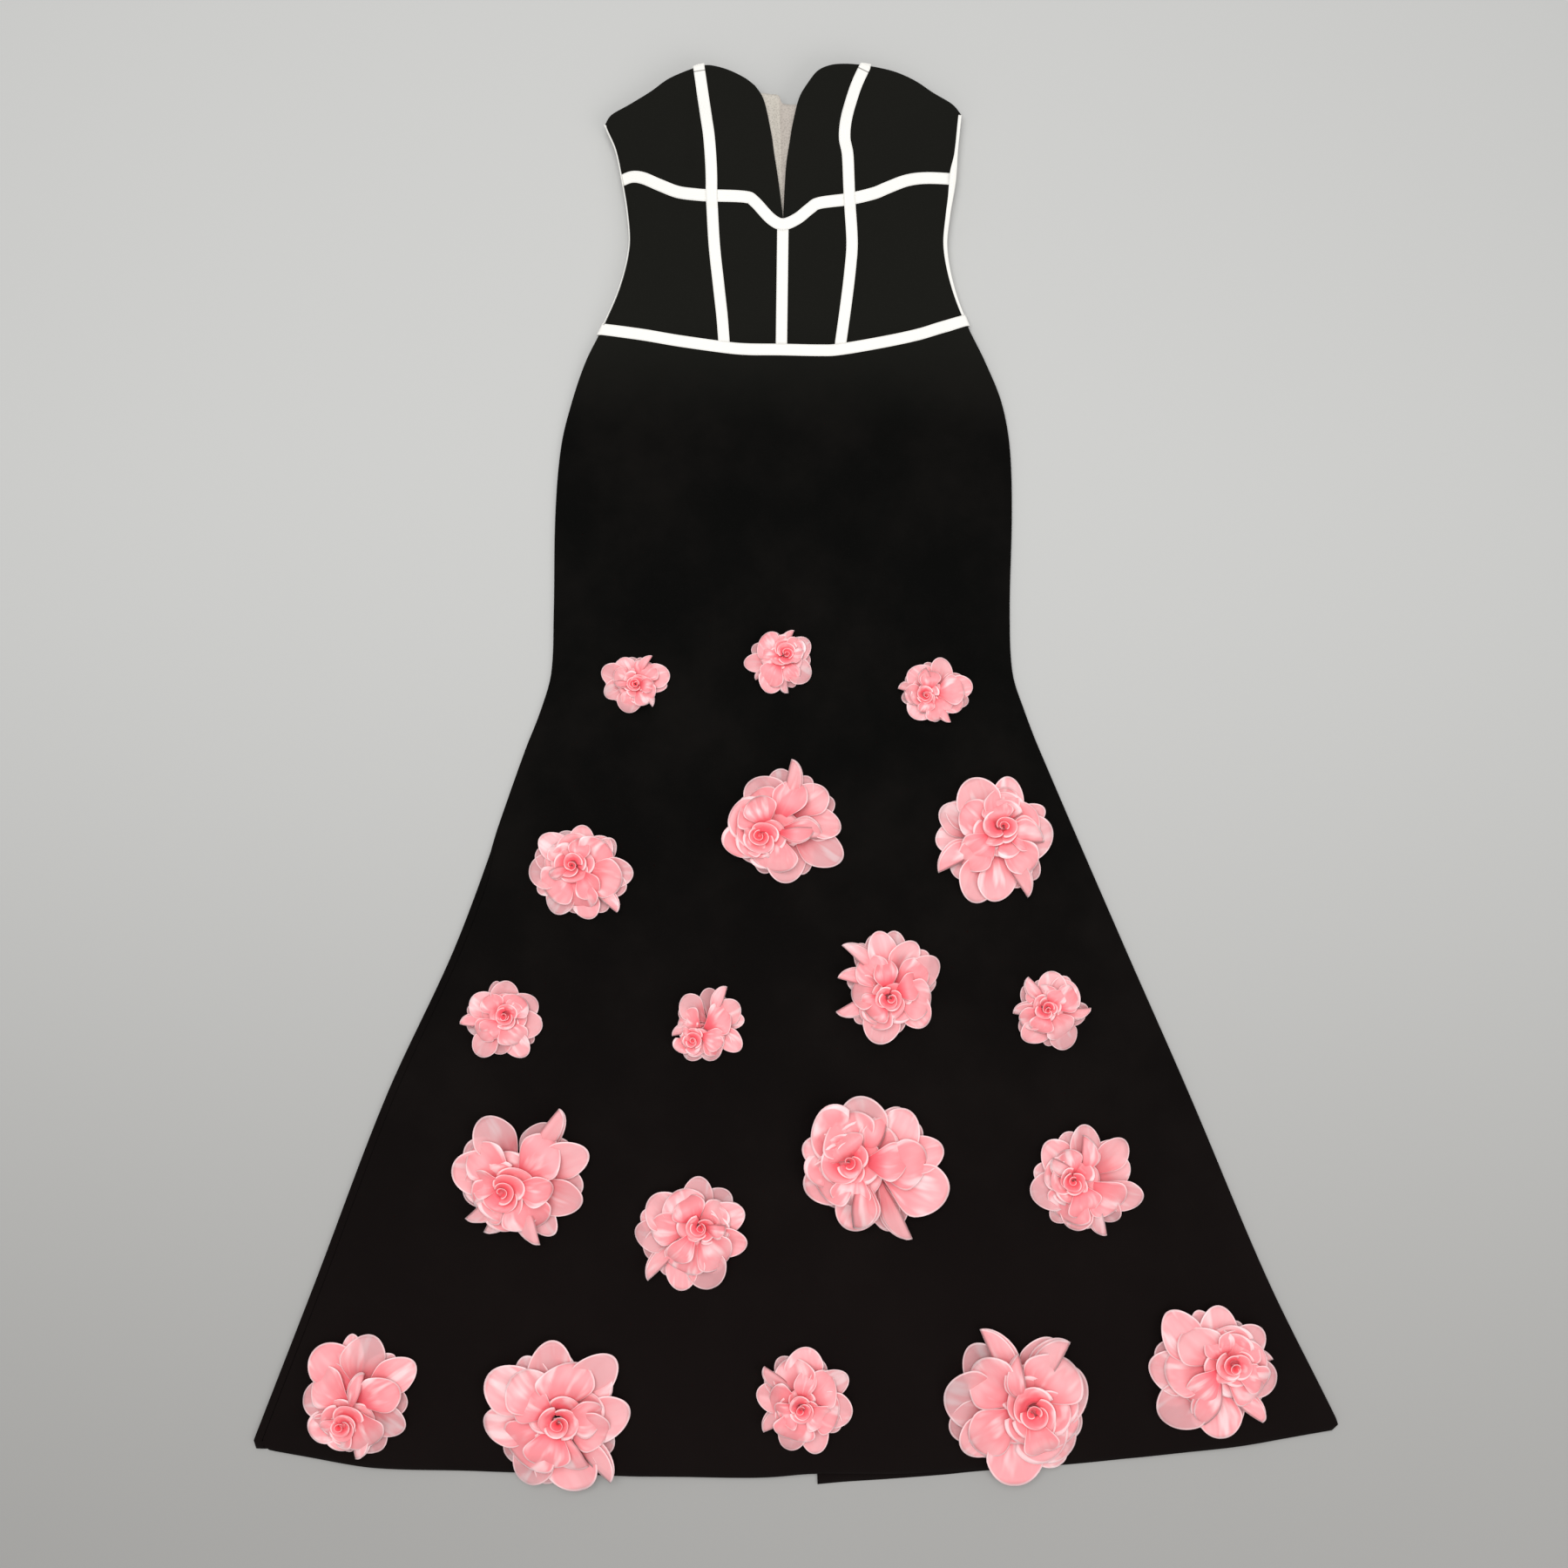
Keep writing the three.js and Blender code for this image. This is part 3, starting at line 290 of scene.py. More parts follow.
def rightEdge(y):
    return readColumn(form["sections"], 2, y) - cornerInset(y, rightHemY)


def rollAt(y):
    return smooth((form["rollFrom"] - y) / (form["rollFrom"] - form["rollFull"]))


def foldRise(fold, x, y):
    (ax, ay), (bx, by), wide, rise = fold[1:]
    dx, dy = bx - ax, by - ay
    along = clamp(((x - ax) * dx + (y - ay) * dy) / (dx * dx + dy * dy))
    away = math.hypot(x - ax - along * dx, y - ay - along * dy)
    return rise * math.exp(-((away / wide) ** 2))


def frontUnder(x, y):
    # underside of the front cloth
    left, right = (readColumn(form["sections"], column, y) for column in (1, 2))
    across = clamp((x - left) / (right - left))
    arch = math.sin(math.pi * across) ** 0.7 if 0 < across < 1 else 0
    soft = smooth(min(across, 1 - across) * (right - left) / 24)
    rises = sum(foldRise(fold, x, y) for fold in form["folds"])
    fine = sum(foldRise(fold, x, y) for fold in form["creases"])
    fine += 0.35 * noise.noise(Vector((x / 60, y / 90, 3.1)))
    lift, crown = (readColumn(form["sections"], column, y) for column in (3, 4))
    return max(lift + crown * arch + (rises + fine) * soft, form["wall"] + form["gap"])


def frontTop(x, y):
    return frontUnder(x, y) + form["knit"]


def backUnder(x, y):
    left, right = (readColumn(form["sections"], column, y) for column in (1, 2))
    fromSide = min(x - left, right - x)
    curl = clamp(max(1 - fromSide / form["curlWide"], 0) ** 2)
    lift = readColumn(form["sections"], 3, y)
    fine = sum(foldRise(fold, x, y) for fold in form["backCreases"])
    return (lift - form["wall"] - form["gap"]) * curl + max(fine, 0) * smooth(fromSide / 30)


def patch(left, right, bottom, top):
    # a plan between four edges, u from left to right and v from bottom to top
    corners = [left(0), right(0), left(1), right(1)]

    def at(u, v):
        edges = [left(v), right(v), bottom(u), top(u)]
        return [
            (1 - u) * edges[0][k] + u * edges[1][k] + (1 - v) * edges[2][k] + v * edges[3][k]
            - (1 - u) * (1 - v) * corners[0][k] - u * (1 - v) * corners[1][k]
            - (1 - u) * v * corners[2][k] - u * v * corners[3][k]
            for k in (0, 1)
        ]

    return at


class Socket:
    # one output socket, so that shader maths reads as an expression
    def __init__(self, tree, socket):
        self.tree = tree
        self.socket = socket

    def node(self, kind, settings=None, inputs=None, output=0):
        made = self.tree.nodes.new(kind)
        for key, value in (settings or {}).items():
            setattr(made, key, value)
        for key, value in (inputs or {}).items():
            if isinstance(value, Socket):
                self.tree.links.new(value.socket, made.inputs[key])
            else:
                made.inputs[key].default_value = value
        return Socket(self.tree, made.outputs[output])

    def math(self, operation, *others):
        return self.node("ShaderNodeMath", {"operation": operation}, dict(enumerate((self, *others))))

    def __add__(self, other):
        return self.math("ADD", other)

    def __sub__(self, other):
        return self.math("SUBTRACT", other)

    def __mul__(self, other):
        return self.math("MULTIPLY", other)

    def __rsub__(self, other):
        return self.node("ShaderNodeMath", {"operation": "SUBTRACT"}, {0: other, 1: self})

    __radd__ = __add__
    __rmul__ = __mul__

    def part(self, axis):
        return self.node("ShaderNodeSeparateXYZ", None, {0: self}, axis)

    def vector(self, operation, other):
        return self.node("ShaderNodeVectorMath", {"operation": operation}, {0: self, 1: other})

    def noise(self, scale, detail, roughness=0.5):
        inputs = {"Vector": self, "Scale": scale, "Detail": detail, "Roughness": roughness}
        return self.node("ShaderNodeTexNoise", None, inputs)

    def bump(self, strength, distance):
        inputs = {"Strength": strength, "Distance": distance, "Height": self}
        return self.node("ShaderNodeBump", None, inputs)

    def step(self, low, high):
        settings = {"interpolation_type": "SMOOTHSTEP"}
        return self.node("ShaderNodeMapRange", settings, {"Value": self, "From Min": low, "From Max": high})

    def mixed(self, first, second):
        # mixes two colours by this mask
        settings = {"data_type": "RGBA", "clamp_factor": True}
        return self.node("ShaderNodeMix", settings, {0: self, 6: first, 7: second}, output=2)


def newMaterial(name, constants):
    # a principled material with its fixed values set on the shader's own sockets
    material = bpy.data.materials.new(name)
    material.use_nodes = True
    shader = next(node for node in material.node_tree.nodes if node.type == "BSDF_PRINCIPLED")
    for key, value in constants.items():
        shader.inputs[key].default_value = value
    start = Socket(material.node_tree, None)

    def feed(key, value):
        material.node_tree.links.new(value.socket, shader.inputs[key])

    return material, start, feed


def rgb(red, green, blue):
    return (red, green, blue, 1)


knitLook = {
    "black": rgb(0.0012, 0.0012, 0.001),
    "worn": rgb(0.0042, 0.0036, 0.0031),
    "warmHem": rgb(0.0062, 0.0036, 0.0034),
    # painted light: a lighter knit colour for the raised bodice, which catches more light
    "bodice": rgb(0.0082, 0.0082, 0.0066),
    "wales": 900,        # knit columns in a metre
    "courses": 620,      # knit rows in a metre
    "relief": 0.00012,
}


def knitMaterial():
    material, start, feed = newMaterial("blackKnit", {
        "Roughness": 0.95, "Specular IOR Level": 0.05, "Sheen Weight": 0.018, "Sheen Roughness": 0.5,
        "Sheen Tint": rgb(0.9, 0.82, 0.78),
    })
    place = start.node("ShaderNodeTexCoord", output=3)
    across, along = place.part(0), place.part(1)
    wale = (across * (knitLook["wales"] * 2 * math.pi)).math("SINE")
    course = (along * (knitLook["courses"] * 2 * math.pi)).math("SINE")
    cloudy = place.noise(9.0, 4.0, 0.6)
    fuzz = place.noise(700.0, 2.0)
    hemward = along.step(0.1, -0.62)
    tone = cloudy.step(0.35, 0.75).mixed(knitLook["black"], knitLook["worn"])
    tone = (hemward * 0.7).mixed(tone, knitLook["warmHem"])
    # painted light: the bodice, from about the waist up, gets the lighter knit colour as if lit more
    tone = (along.step(0.30, 0.42) * 0.85).mixed(tone, knitLook["bodice"])
    tone = (fuzz.step(0.5, 0.85) * 0.35).mixed(tone, knitLook["worn"])
    feed("Base Color", tone)
    feed("Roughness", 0.86 + cloudy * 0.1)
    feed("Normal", (wale * 0.6 + course * 0.4 + fuzz * 0.8).bump(0.5, knitLook["relief"]))
    return material


tapeLook = {
    "white": rgb(0.79, 0.775, 0.735),
    # painted shade: the darker colour laid in the grooves between the ribs
    "groove": rgb(0.56, 0.545, 0.51),
    "thread": rgb(0.97, 0.96, 0.93),
    "endStitch": rgb(0.16, 0.15, 0.14),
    "ribs": 9,           # ribs across the tape
    "stitch": 3.2,       # millimetres between stitches
    "weave": 0.9,        # millimetres between the weave's threads
    "relief": 0.00018,
}


def tapeMaterial():
    material, start, feed = newMaterial("whiteTape", {"Specular IOR Level": 0.25, "Sheen Weight": 0.15})
    place = start.node("ShaderNodeUVMap", {"uv_map": "alongTape"})
    across, along = place.part(0), place.part(1)
    rib = (across * (tapeLook["ribs"] * 2 * math.pi)).math("COSINE")
    weave = (along * (2 * math.pi / tapeLook["weave"])).math("SINE")
    uneven = place.noise(0.35, 3.0)
    # painted shade: the grooves between the ribs are darkened where shade falls
    groove = (0.0 - rib).step(0.35, 1.0)
    fromEdge = (across - 0.5).math("ABSOLUTE")
    seamLine = fromEdge.step(0.325, 0.345) * (1 - fromEdge.step(0.375, 0.395))
    dash = (along * (2 * math.pi / tapeLook["stitch"])).math("SINE")
    stitch = seamLine * dash.step(-0.35, 0.1)
    fromEnd = start.node("ShaderNodeAttribute", {"attribute_name": "fromEnd"}, output=2)
    endLine = fromEnd.step(2.6, 3.1) * (1 - fromEnd.step(3.6, 4.1))
    # painted groove shade, with a random uneven darkening of the tape's own tone
    grooved = groove * 0.35 + uneven.step(0.55, 0.85) * 0.15
    tone = grooved.mixed(tapeLook["white"], tapeLook["groove"])
    tone = (stitch * 0.5).mixed(tone, tapeLook["thread"])
    tone = (endLine * 0.8).mixed(tone, tapeLook["endStitch"])
    feed("Base Color", tone)
    feed("Roughness", 0.8 + uneven * 0.12)
    height = rib * 0.5 + weave * 0.18 - stitch * 0.9 + seamLine * -0.4
    feed("Normal", height.bump(0.6, tapeLook["relief"]))
    return material


meshLook = {
    "cream": rgb(0.49, 0.455, 0.40),
    "greyer": rgb(0.43, 0.385, 0.345),
    "light": rgb(0.54, 0.49, 0.43),
    "holes": 620.0,      # holes in a metre of net
}


def netMaterial():
    material, start, feed = newMaterial("nudeNet", {"Specular IOR Level": 0.2, "Sheen Weight": 0.2})
    place = start.node("ShaderNodeTexCoord", output=3)
    share = start.node("ShaderNodeUVMap", {"uv_map": "acrossNet"}).part(0)
    holes = place.node("ShaderNodeTexVoronoi", None, {"Vector": place, "Scale": meshLook["holes"]})
    cloudy = place.noise(60.0, 2.0)
    side = (share + (cloudy - 0.5) * 0.05).step(0.46, 0.53)
    tone = side.mixed(meshLook["cream"], meshLook["greyer"])
    feed("Base Color", (cloudy * 0.2).mixed(tone, meshLook["light"]))
    feed("Roughness", 0.75 + cloudy * 0.15)
    feed("Alpha", 0.62 + holes.step(0.15, 0.6) * 0.3)
    return material


petalLook = {
    "pale": rgb(0.97, 0.46, 0.48),
    "pink": rgb(0.95, 0.26, 0.285),
    # coral and heart: deeper tones for petal feet and inner tiers, partly the layered cloth's own colour,
    # partly painted shade
    "coral": rgb(0.94, 0.125, 0.16),
    "heart": rgb(0.90, 0.07, 0.10),
    # white: the painted satin highlight, and the real pale sealed rim
    "white": rgb(1.0, 0.76, 0.77),
    "outerAlpha": 0.42,
    "innerAlpha": 0.97,
    "relief": 0.0009,
}


def petalMaterial():
    material, start, feed = newMaterial("pinkSatin", {
        "Specular IOR Level": 0.5, "Sheen Weight": 0.35, "Sheen Roughness": 0.3,
        "Sheen Tint": rgb(1, 0.86, 0.85),
        "Subsurface Weight": 0.15, "Subsurface Scale": 0.004, "Subsurface Radius": (1.0, 0.42, 0.42),
    })
    place = start.node("ShaderNodeUVMap", {"uv_map": "petal"})
    centred = place.vector("SUBTRACT", (0.5, 0.5, 0))
    reach = centred.node("ShaderNodeVectorMath", {"operation": "LENGTH"}, {0: centred}, output=1) * 2
    along = place.part(1)
    warmth = start.node("ShaderNodeAttribute", {"attribute_name": "warmth"}, output=2)
    shade = start.node("ShaderNodeAttribute", {"attribute_name": "shade"}, output=2)
    shifted = start.node("ShaderNodeCombineXYZ", None, {0: shade * 17.0, 1: warmth * 5.0, 2: shade * 9.0})
    silk = place.vector("MULTIPLY", (4.2, 1.3, 1.0)).vector("ADD", shifted).noise(1.0, 2.0, 0.45)
    threads = place.noise(90.0, 1.0)
    # the colour deepens to coral at each petal's foot and in the inner tiers: partly the layered cloth's
    # own deeper colour, partly painted shade where the petals overlap
    deep = warmth + (1 - along.step(0.0, 0.78)) * 0.66 + (silk - 0.5) * 0.5 + shade * 0.1
    tone = deep.step(0.0, 0.4).mixed(petalLook["pale"], petalLook["pink"])
    tone = deep.step(0.4, 0.92).mixed(tone, petalLook["coral"])
    tone = deep.step(0.92, 1.3).mixed(tone, petalLook["heart"])
    # painted highlight: satin sheen laid as white patches where the silk noise is high, away from the coral
    # hearts
    paintedHighlight = silk.step(0.5, 0.72) * (1 - deep.step(0.45, 0.95)) * 0.7
    tone = paintedHighlight.mixed(tone, petalLook["white"])
    rim = reach.step(0.93, 0.97)
    tone = (rim * 0.6).mixed(tone, petalLook["white"])
    feed("Base Color", tone)
    feed("Roughness", 0.36 + silk * 0.2)
    layered = (warmth + shade.math("MAXIMUM", 0.0) * 0.3).step(0.0, 0.35)
    thin = petalLook["outerAlpha"] + layered * (petalLook["innerAlpha"] - petalLook["outerAlpha"])
    feed("Alpha", (thin + rim * 0.3).math("MINIMUM", 1.0))
    feed("Normal", (silk + threads * 0.12).bump(0.35, petalLook["relief"]))
    return material


materials = {
    "knit": knitMaterial(),
    "tape": tapeMaterial(),
    "mesh": netMaterial(),
    "petal": petalMaterial(),
}
print("materials made")


def placed(x, y, z):
    # a point of the tables in the frame's metres
    return Vector(((x + middle[0]) * mm, (y + middle[1]) * mm, z * mm))


def addObject(name, data):
    made = bpy.data.objects.new(name, data)
    bpy.context.collection.objects.link(made)
    return made


def meshObject(name, bm, material):
    mesh = bpy.data.meshes.new(name)
    bm.to_mesh(mesh)
    bm.free()
    mesh.materials.append(material)
    return addObject(name, mesh)


def gridPart(bm, columns, rows, pointAt, uvLayer=None, uvAt=None):
    # a grid whose points are moved to pointAt(u, v), in millimetres
    made = bmesh.ops.create_grid(bm, x_segments=columns, y_segments=rows, size=1)["verts"]
    shares = {vert: ((vert.co.x + 1) / 2, (vert.co.y + 1) / 2) for vert in made}
    if uvLayer is not None:
        for face in {face for vert in made for face in vert.link_faces}:
            for loop in face.loops:
                loop[uvLayer].uv = uvAt(*shares[loop.vert])
    for vert, (u, v) in shares.items():
        vert.co = placed(*pointAt(u, v))
    return shares


def pieceName(node):
    words = node.split("_")
    return words[0] + "".join(word.capitalize() for word in words[1:])


def finishPiece(bm, node, slot, thickness, offset=1.0):
    area = sum(face.calc_area() for face in bm.faces)
    piece = meshObject(pieceName(node), bm, materials[slot])
    piece.data.polygons.foreach_set("use_smooth", [True] * len(piece.data.polygons))
    wall = piece.modifiers.new("thickness", "SOLIDIFY")
    wall.thickness = thickness * mm
    wall.offset = offset
    wall.use_even_offset = slot != "petal"
    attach(piece, "root")
    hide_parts(node)
    return piece, area


def declareCloth(piece, area):
    # a flat panel: its box across and along, and the area of its cut
    points = [vert.co for vert in piece.data.vertices]
    width, length = (max(p[k] for p in points) - min(p[k] for p in points) for k in (0, 1))
    area = min(area, width * length)


def panel(node, edges, columns, rows, heightAt, extra=None):
    at = patch(*edges)
    bm = bmesh.new()

    def pointAt(u, v):
        x, y = at(u, v)
        return x, y, heightAt(x, y)

    gridPart(bm, columns, rows, pointAt)
    if extra:
        extra(bm)
    piece, area = finishPiece(bm, node, "knit", form["knit"])
    declareCloth(piece, area)


bustStops = {"left": 0, "princessLeft": 6 / 19, "centre": 10 / 19, "princessRight": 14 / 19, "right": 1}
waistStops = {"left": 0, "princessLeft": 3 / 11, "centre": 5 / 11, "princessRight": 7 / 11, "right": 1}


def bustPart(start, end):
    return stretch(seams["underbust"], bustStops[start], bustStops[end])


def waistPart(start, end):
    return stretch(seams["waist"], waistStops[start], waistStops[end])


def sideSeam(side, low, high):
    # part of a side seam between two of its levels
    edge = leftEdge if side == "left" else rightEdge
    return alongSide(edge, sideLevels[side][low], sideLevels[side][high])


def makeBodice():
    s = seams
    leftLow, leftHigh = s["princessLeftLow"], s["princessLeftHigh"]
    rightLow, rightHigh = s["princessRightLow"], s["princessRightHigh"]
    # node, left and right edges, the stops that it lies between across the dress, neckline
    cups = [
        ("cup_side_left", sideSeam("left", 1, 2), leftHigh, "left", "princessLeft", "neckSideLeft"),
        ("cup_centre_left", leftHigh, s["notchLeft"], "princessLeft", "centre", "neckCentreLeft"),
        ("cup_centre_right", s["notchRight"], rightHigh, "centre", "princessRight", "neckCentreRight"),
        ("cup_side_right", rightHigh, sideSeam("right", 1, 2), "princessRight", "right", "neckSideRight"),
    ]
    midriffs = [
        ("midriff_side_left", sideSeam("left", 0, 1), leftLow, "left", "princessLeft"),
        ("midriff_centre_left", leftLow, s["centre"], "princessLeft", "centre"),
        ("midriff_centre_right", s["centre"], rightLow, "centre", "princessRight"),
        ("midriff_side_right", rightLow, sideSeam("right", 0, 1), "princessRight", "right"),
    ]
    for node, left, right, start, end, neck in cups:
        panel(node, (left, right, bustPart(start, end), s[neck]), 30, 36, frontUnder)
    for node, left, right, start, end in midriffs:
        panel(node, (left, right, waistPart(start, end), bustPart(start, end)), 30, 36, frontUnder)
    centreBack = straight(centreBackWaist, s["backNeck"](0.5))
    # node, left and right edges, the stops at the waist, shares of the back neckline
    backs = [
        ("bodice_back_left", sideSeam("left", 0, 2), centreBack, "left", "centre", 0, 0.5),
        ("bodice_back_right", centreBack, sideSeam("right", 0, 2), "centre", "right", 0.5, 1),
    ]
    for node, left, right, start, end, low, high in backs:
        edges = (left, right, waistPart(start, end), stretch(s["backNeck"], low, high))
        panel(node, edges, 44, 44, backUnder)


def makeSkirt():
    hem = seams["hemFront"]
    tuck = form["rollWide"]
    leftWaistY, rightWaistY = sideLevels["left"][0], sideLevels["right"][0]

    def rolledEdge(y):
        return leftEdge(y) + tuck * rollAt(y)

    panel("skirt_front", (
        alongSide(rolledEdge, leftHemY, leftWaistY),
        alongSide(rightEdge, rightHemY, rightWaistY),
        lambda t: [hem(t)[0] + tuck * (1 - t) ** 8, hem(t)[1]],
        seams["waist"],
    ), 150, 190, frontUnder)

    # the left back's cloth comes round the side edge to meet the front's
    bend = form["wall"] + form["gap"] / 2
    onFront, turning, under = 0.3, 0.5, 0.2  # shares of that cloth across

    def backInset(y):
        return leftEdge(y) + 3 * rollAt(y)

    def rolledCloth(bm):
        def pointAt(u, v):
            y = lerp(leftHemY + 1, form["rollFrom"] - 4, v)
            wide = max(tuck * rollAt(y), bend + 0.4) - 0.15
            edge = leftEdge(y)
            if u < onFront:
                return edge + lerp(wide, bend, u / onFront), y, 2 * bend
            if u > onFront + turning:
                return edge + lerp(bend, bend + 3.2, (u - (onFront + turning)) / under), y, 0.02
            turn = math.pi * (u - onFront) / turning
            return edge + bend - bend * math.sin(turn), y, bend + bend * math.cos(turn)

        gridPart(bm, 12, 80, pointAt)

    panel("skirt_back_left", (
        alongSide(backInset, leftHemY, leftWaistY),
        straight(seamLines["hemBackLeft"][-1], centreBackWaist),
        seams["hemBackLeft"],
        waistPart("left", "centre"),
    ), 80, 150, backUnder, rolledCloth)
    panel("skirt_back_right", (
        straight(seamLines["hemBackRight"][0], centreBackWaist),
        alongSide(rightEdge, rightHemY, rightWaistY),
        seams["hemBackRight"],
        waistPart("centre", "right"),
    ), 80, 150, backUnder)


makeBodice()
print("bodice made")
makeSkirt()
print("skirt made")

net = {
    "foot": 496,
    "lap": 3,
    "below": 0.5,
    "thickness": 0.5,
    "top": [(-36.2, 610.8), (-24, 609.2), (-15.5, 608), (-11, 600.6), (3.4, 599.4)],
    "fold": ("net fold", (-16, 601), (-11.4, 505), 3.2, -2),
    "wrinkles": [
        ("wrinkle one", (-26, 606), (-17, 552), 2.2, 0.6),
        ("wrinkle two", (-2, 598), (-9, 548), 2.0, 0.5),
    ],
}


def makeNet():
    leftX, rightX = lookUp(seams["notchLeft"], 1), lookUp(seams["notchRight"], 1)
    foot, lap = net["foot"], net["lap"]
    tops = net["top"]
    at = patch(
        alongSide(lambda y: leftX(y) - lap, foot, tops[0][1]),
        alongSide(lambda y: rightX(y) + lap, foot, tops[-1][1]),
        straight((leftX(foot) - lap, foot), (rightX(foot) + lap, foot)),
        curve(tops),
    )
    bm = bmesh.new()
    layer = bm.loops.layers.uv.new("acrossNet")

    def pointAt(u, v):
        x, y = at(u, v)
        rise = foldRise(net["fold"], x, y) + sum(foldRise(fold, x, y) for fold in net["wrinkles"])
        return x, y, frontUnder(x, y) - net["below"] - net["thickness"] + rise * smooth(min(u, 1 - u) * 5)

    gridPart(bm, 26, 50, pointAt, layer, lambda u, v: (u, v))
    piece, area = finishPiece(bm, "notch_mesh", "mesh", net["thickness"])
    declareCloth(piece, area)


makeNet()
print("net made")

tape = {
    "wide": 10,
    "thick": 0.9,
    "clear": 0.15,       # height over the knit
    "wrapClear": 0.45,
    "wrapDeep": 5,
    "bulge": 1.2,        # how far a turned end's round edge stands out
    "over": 1.35,        # rise where one tape crosses another
    "hiddenFlange": 6,
    "sideClear": 0.1,    # the side tapes lie closer round the seam
    "sideBulge": 0.15,
    "leftFlange": 0.2,
    "turnShare": 0.06,   # share of a tape's length in a turned end
    "frontShare": 0.35,  # share of a side tape's width that lies on the front
    # y, how much of the right side tape shows on the front
    "rightFlange": [(590, 2.0), (560, 2.3), (541, 5.4), (515, 3.6), (466, 2.4), (415, 1.3)],
}


def tapePiece(node, columns, rows, pointAt, length, turnShare=0):
    bm = bmesh.new()
    layer = bm.loops.layers.uv.new("alongTape")
    fromEnd = bm.verts.layers.float.new("fromEnd")
    shares = gridPart(bm, columns, rows, pointAt, layer, lambda u, v: (u, v * length))
    for vert, (u, v) in shares.items():
        vert[fromEnd] = (1 - turnShare - v) * length if turnShare else 100
    piece, area = finishPiece(bm, node, "tape", tape["thick"])
    cutWidth = max(area / (length * mm), tape["wide"] * mm)


def acrossTape(path, t, share):
    # the point a share of the way across a tape, left edge first
    step = 0.002
    a, b = path(max(t - step, 0)), path(min(t + step, 1))
    size = math.hypot(b[0] - a[0], b[1] - a[1])
    side = (share - 0.5) * tape["wide"]
    x, y = path(t)
    return x + side * (b[1] - a[1]) / size, y - side * (b[0] - a[0]) / size


def turnedEnds(v):
    # whether share v of a tape is in a turned end, and how far past the edge or along it
    low, high = tape["turnShare"], 1 - tape["turnShare"]
    if v < low:
        return "start", 1 - v / low
    if v > high:
        return "end", (v - high) / low
    return "middle", (v - low) / (high - low)


def turnProfile(t, topZ, lowZ, clear=tape["wrapClear"], bulge=tape["bulge"]):
    # out past the edge, down and back under: how far out, and the height, at share t
    bend = (topZ - lowZ) / 2
    if t < 0.5:
        turn = math.pi * t / 0.5
        return clear + min(bend, bulge) * math.sin(turn), (topZ + lowZ) / 2 + bend * math.cos(turn)
    return lerp(clear, -tape["wrapDeep"], (t - 0.5) / 0.5), lowZ


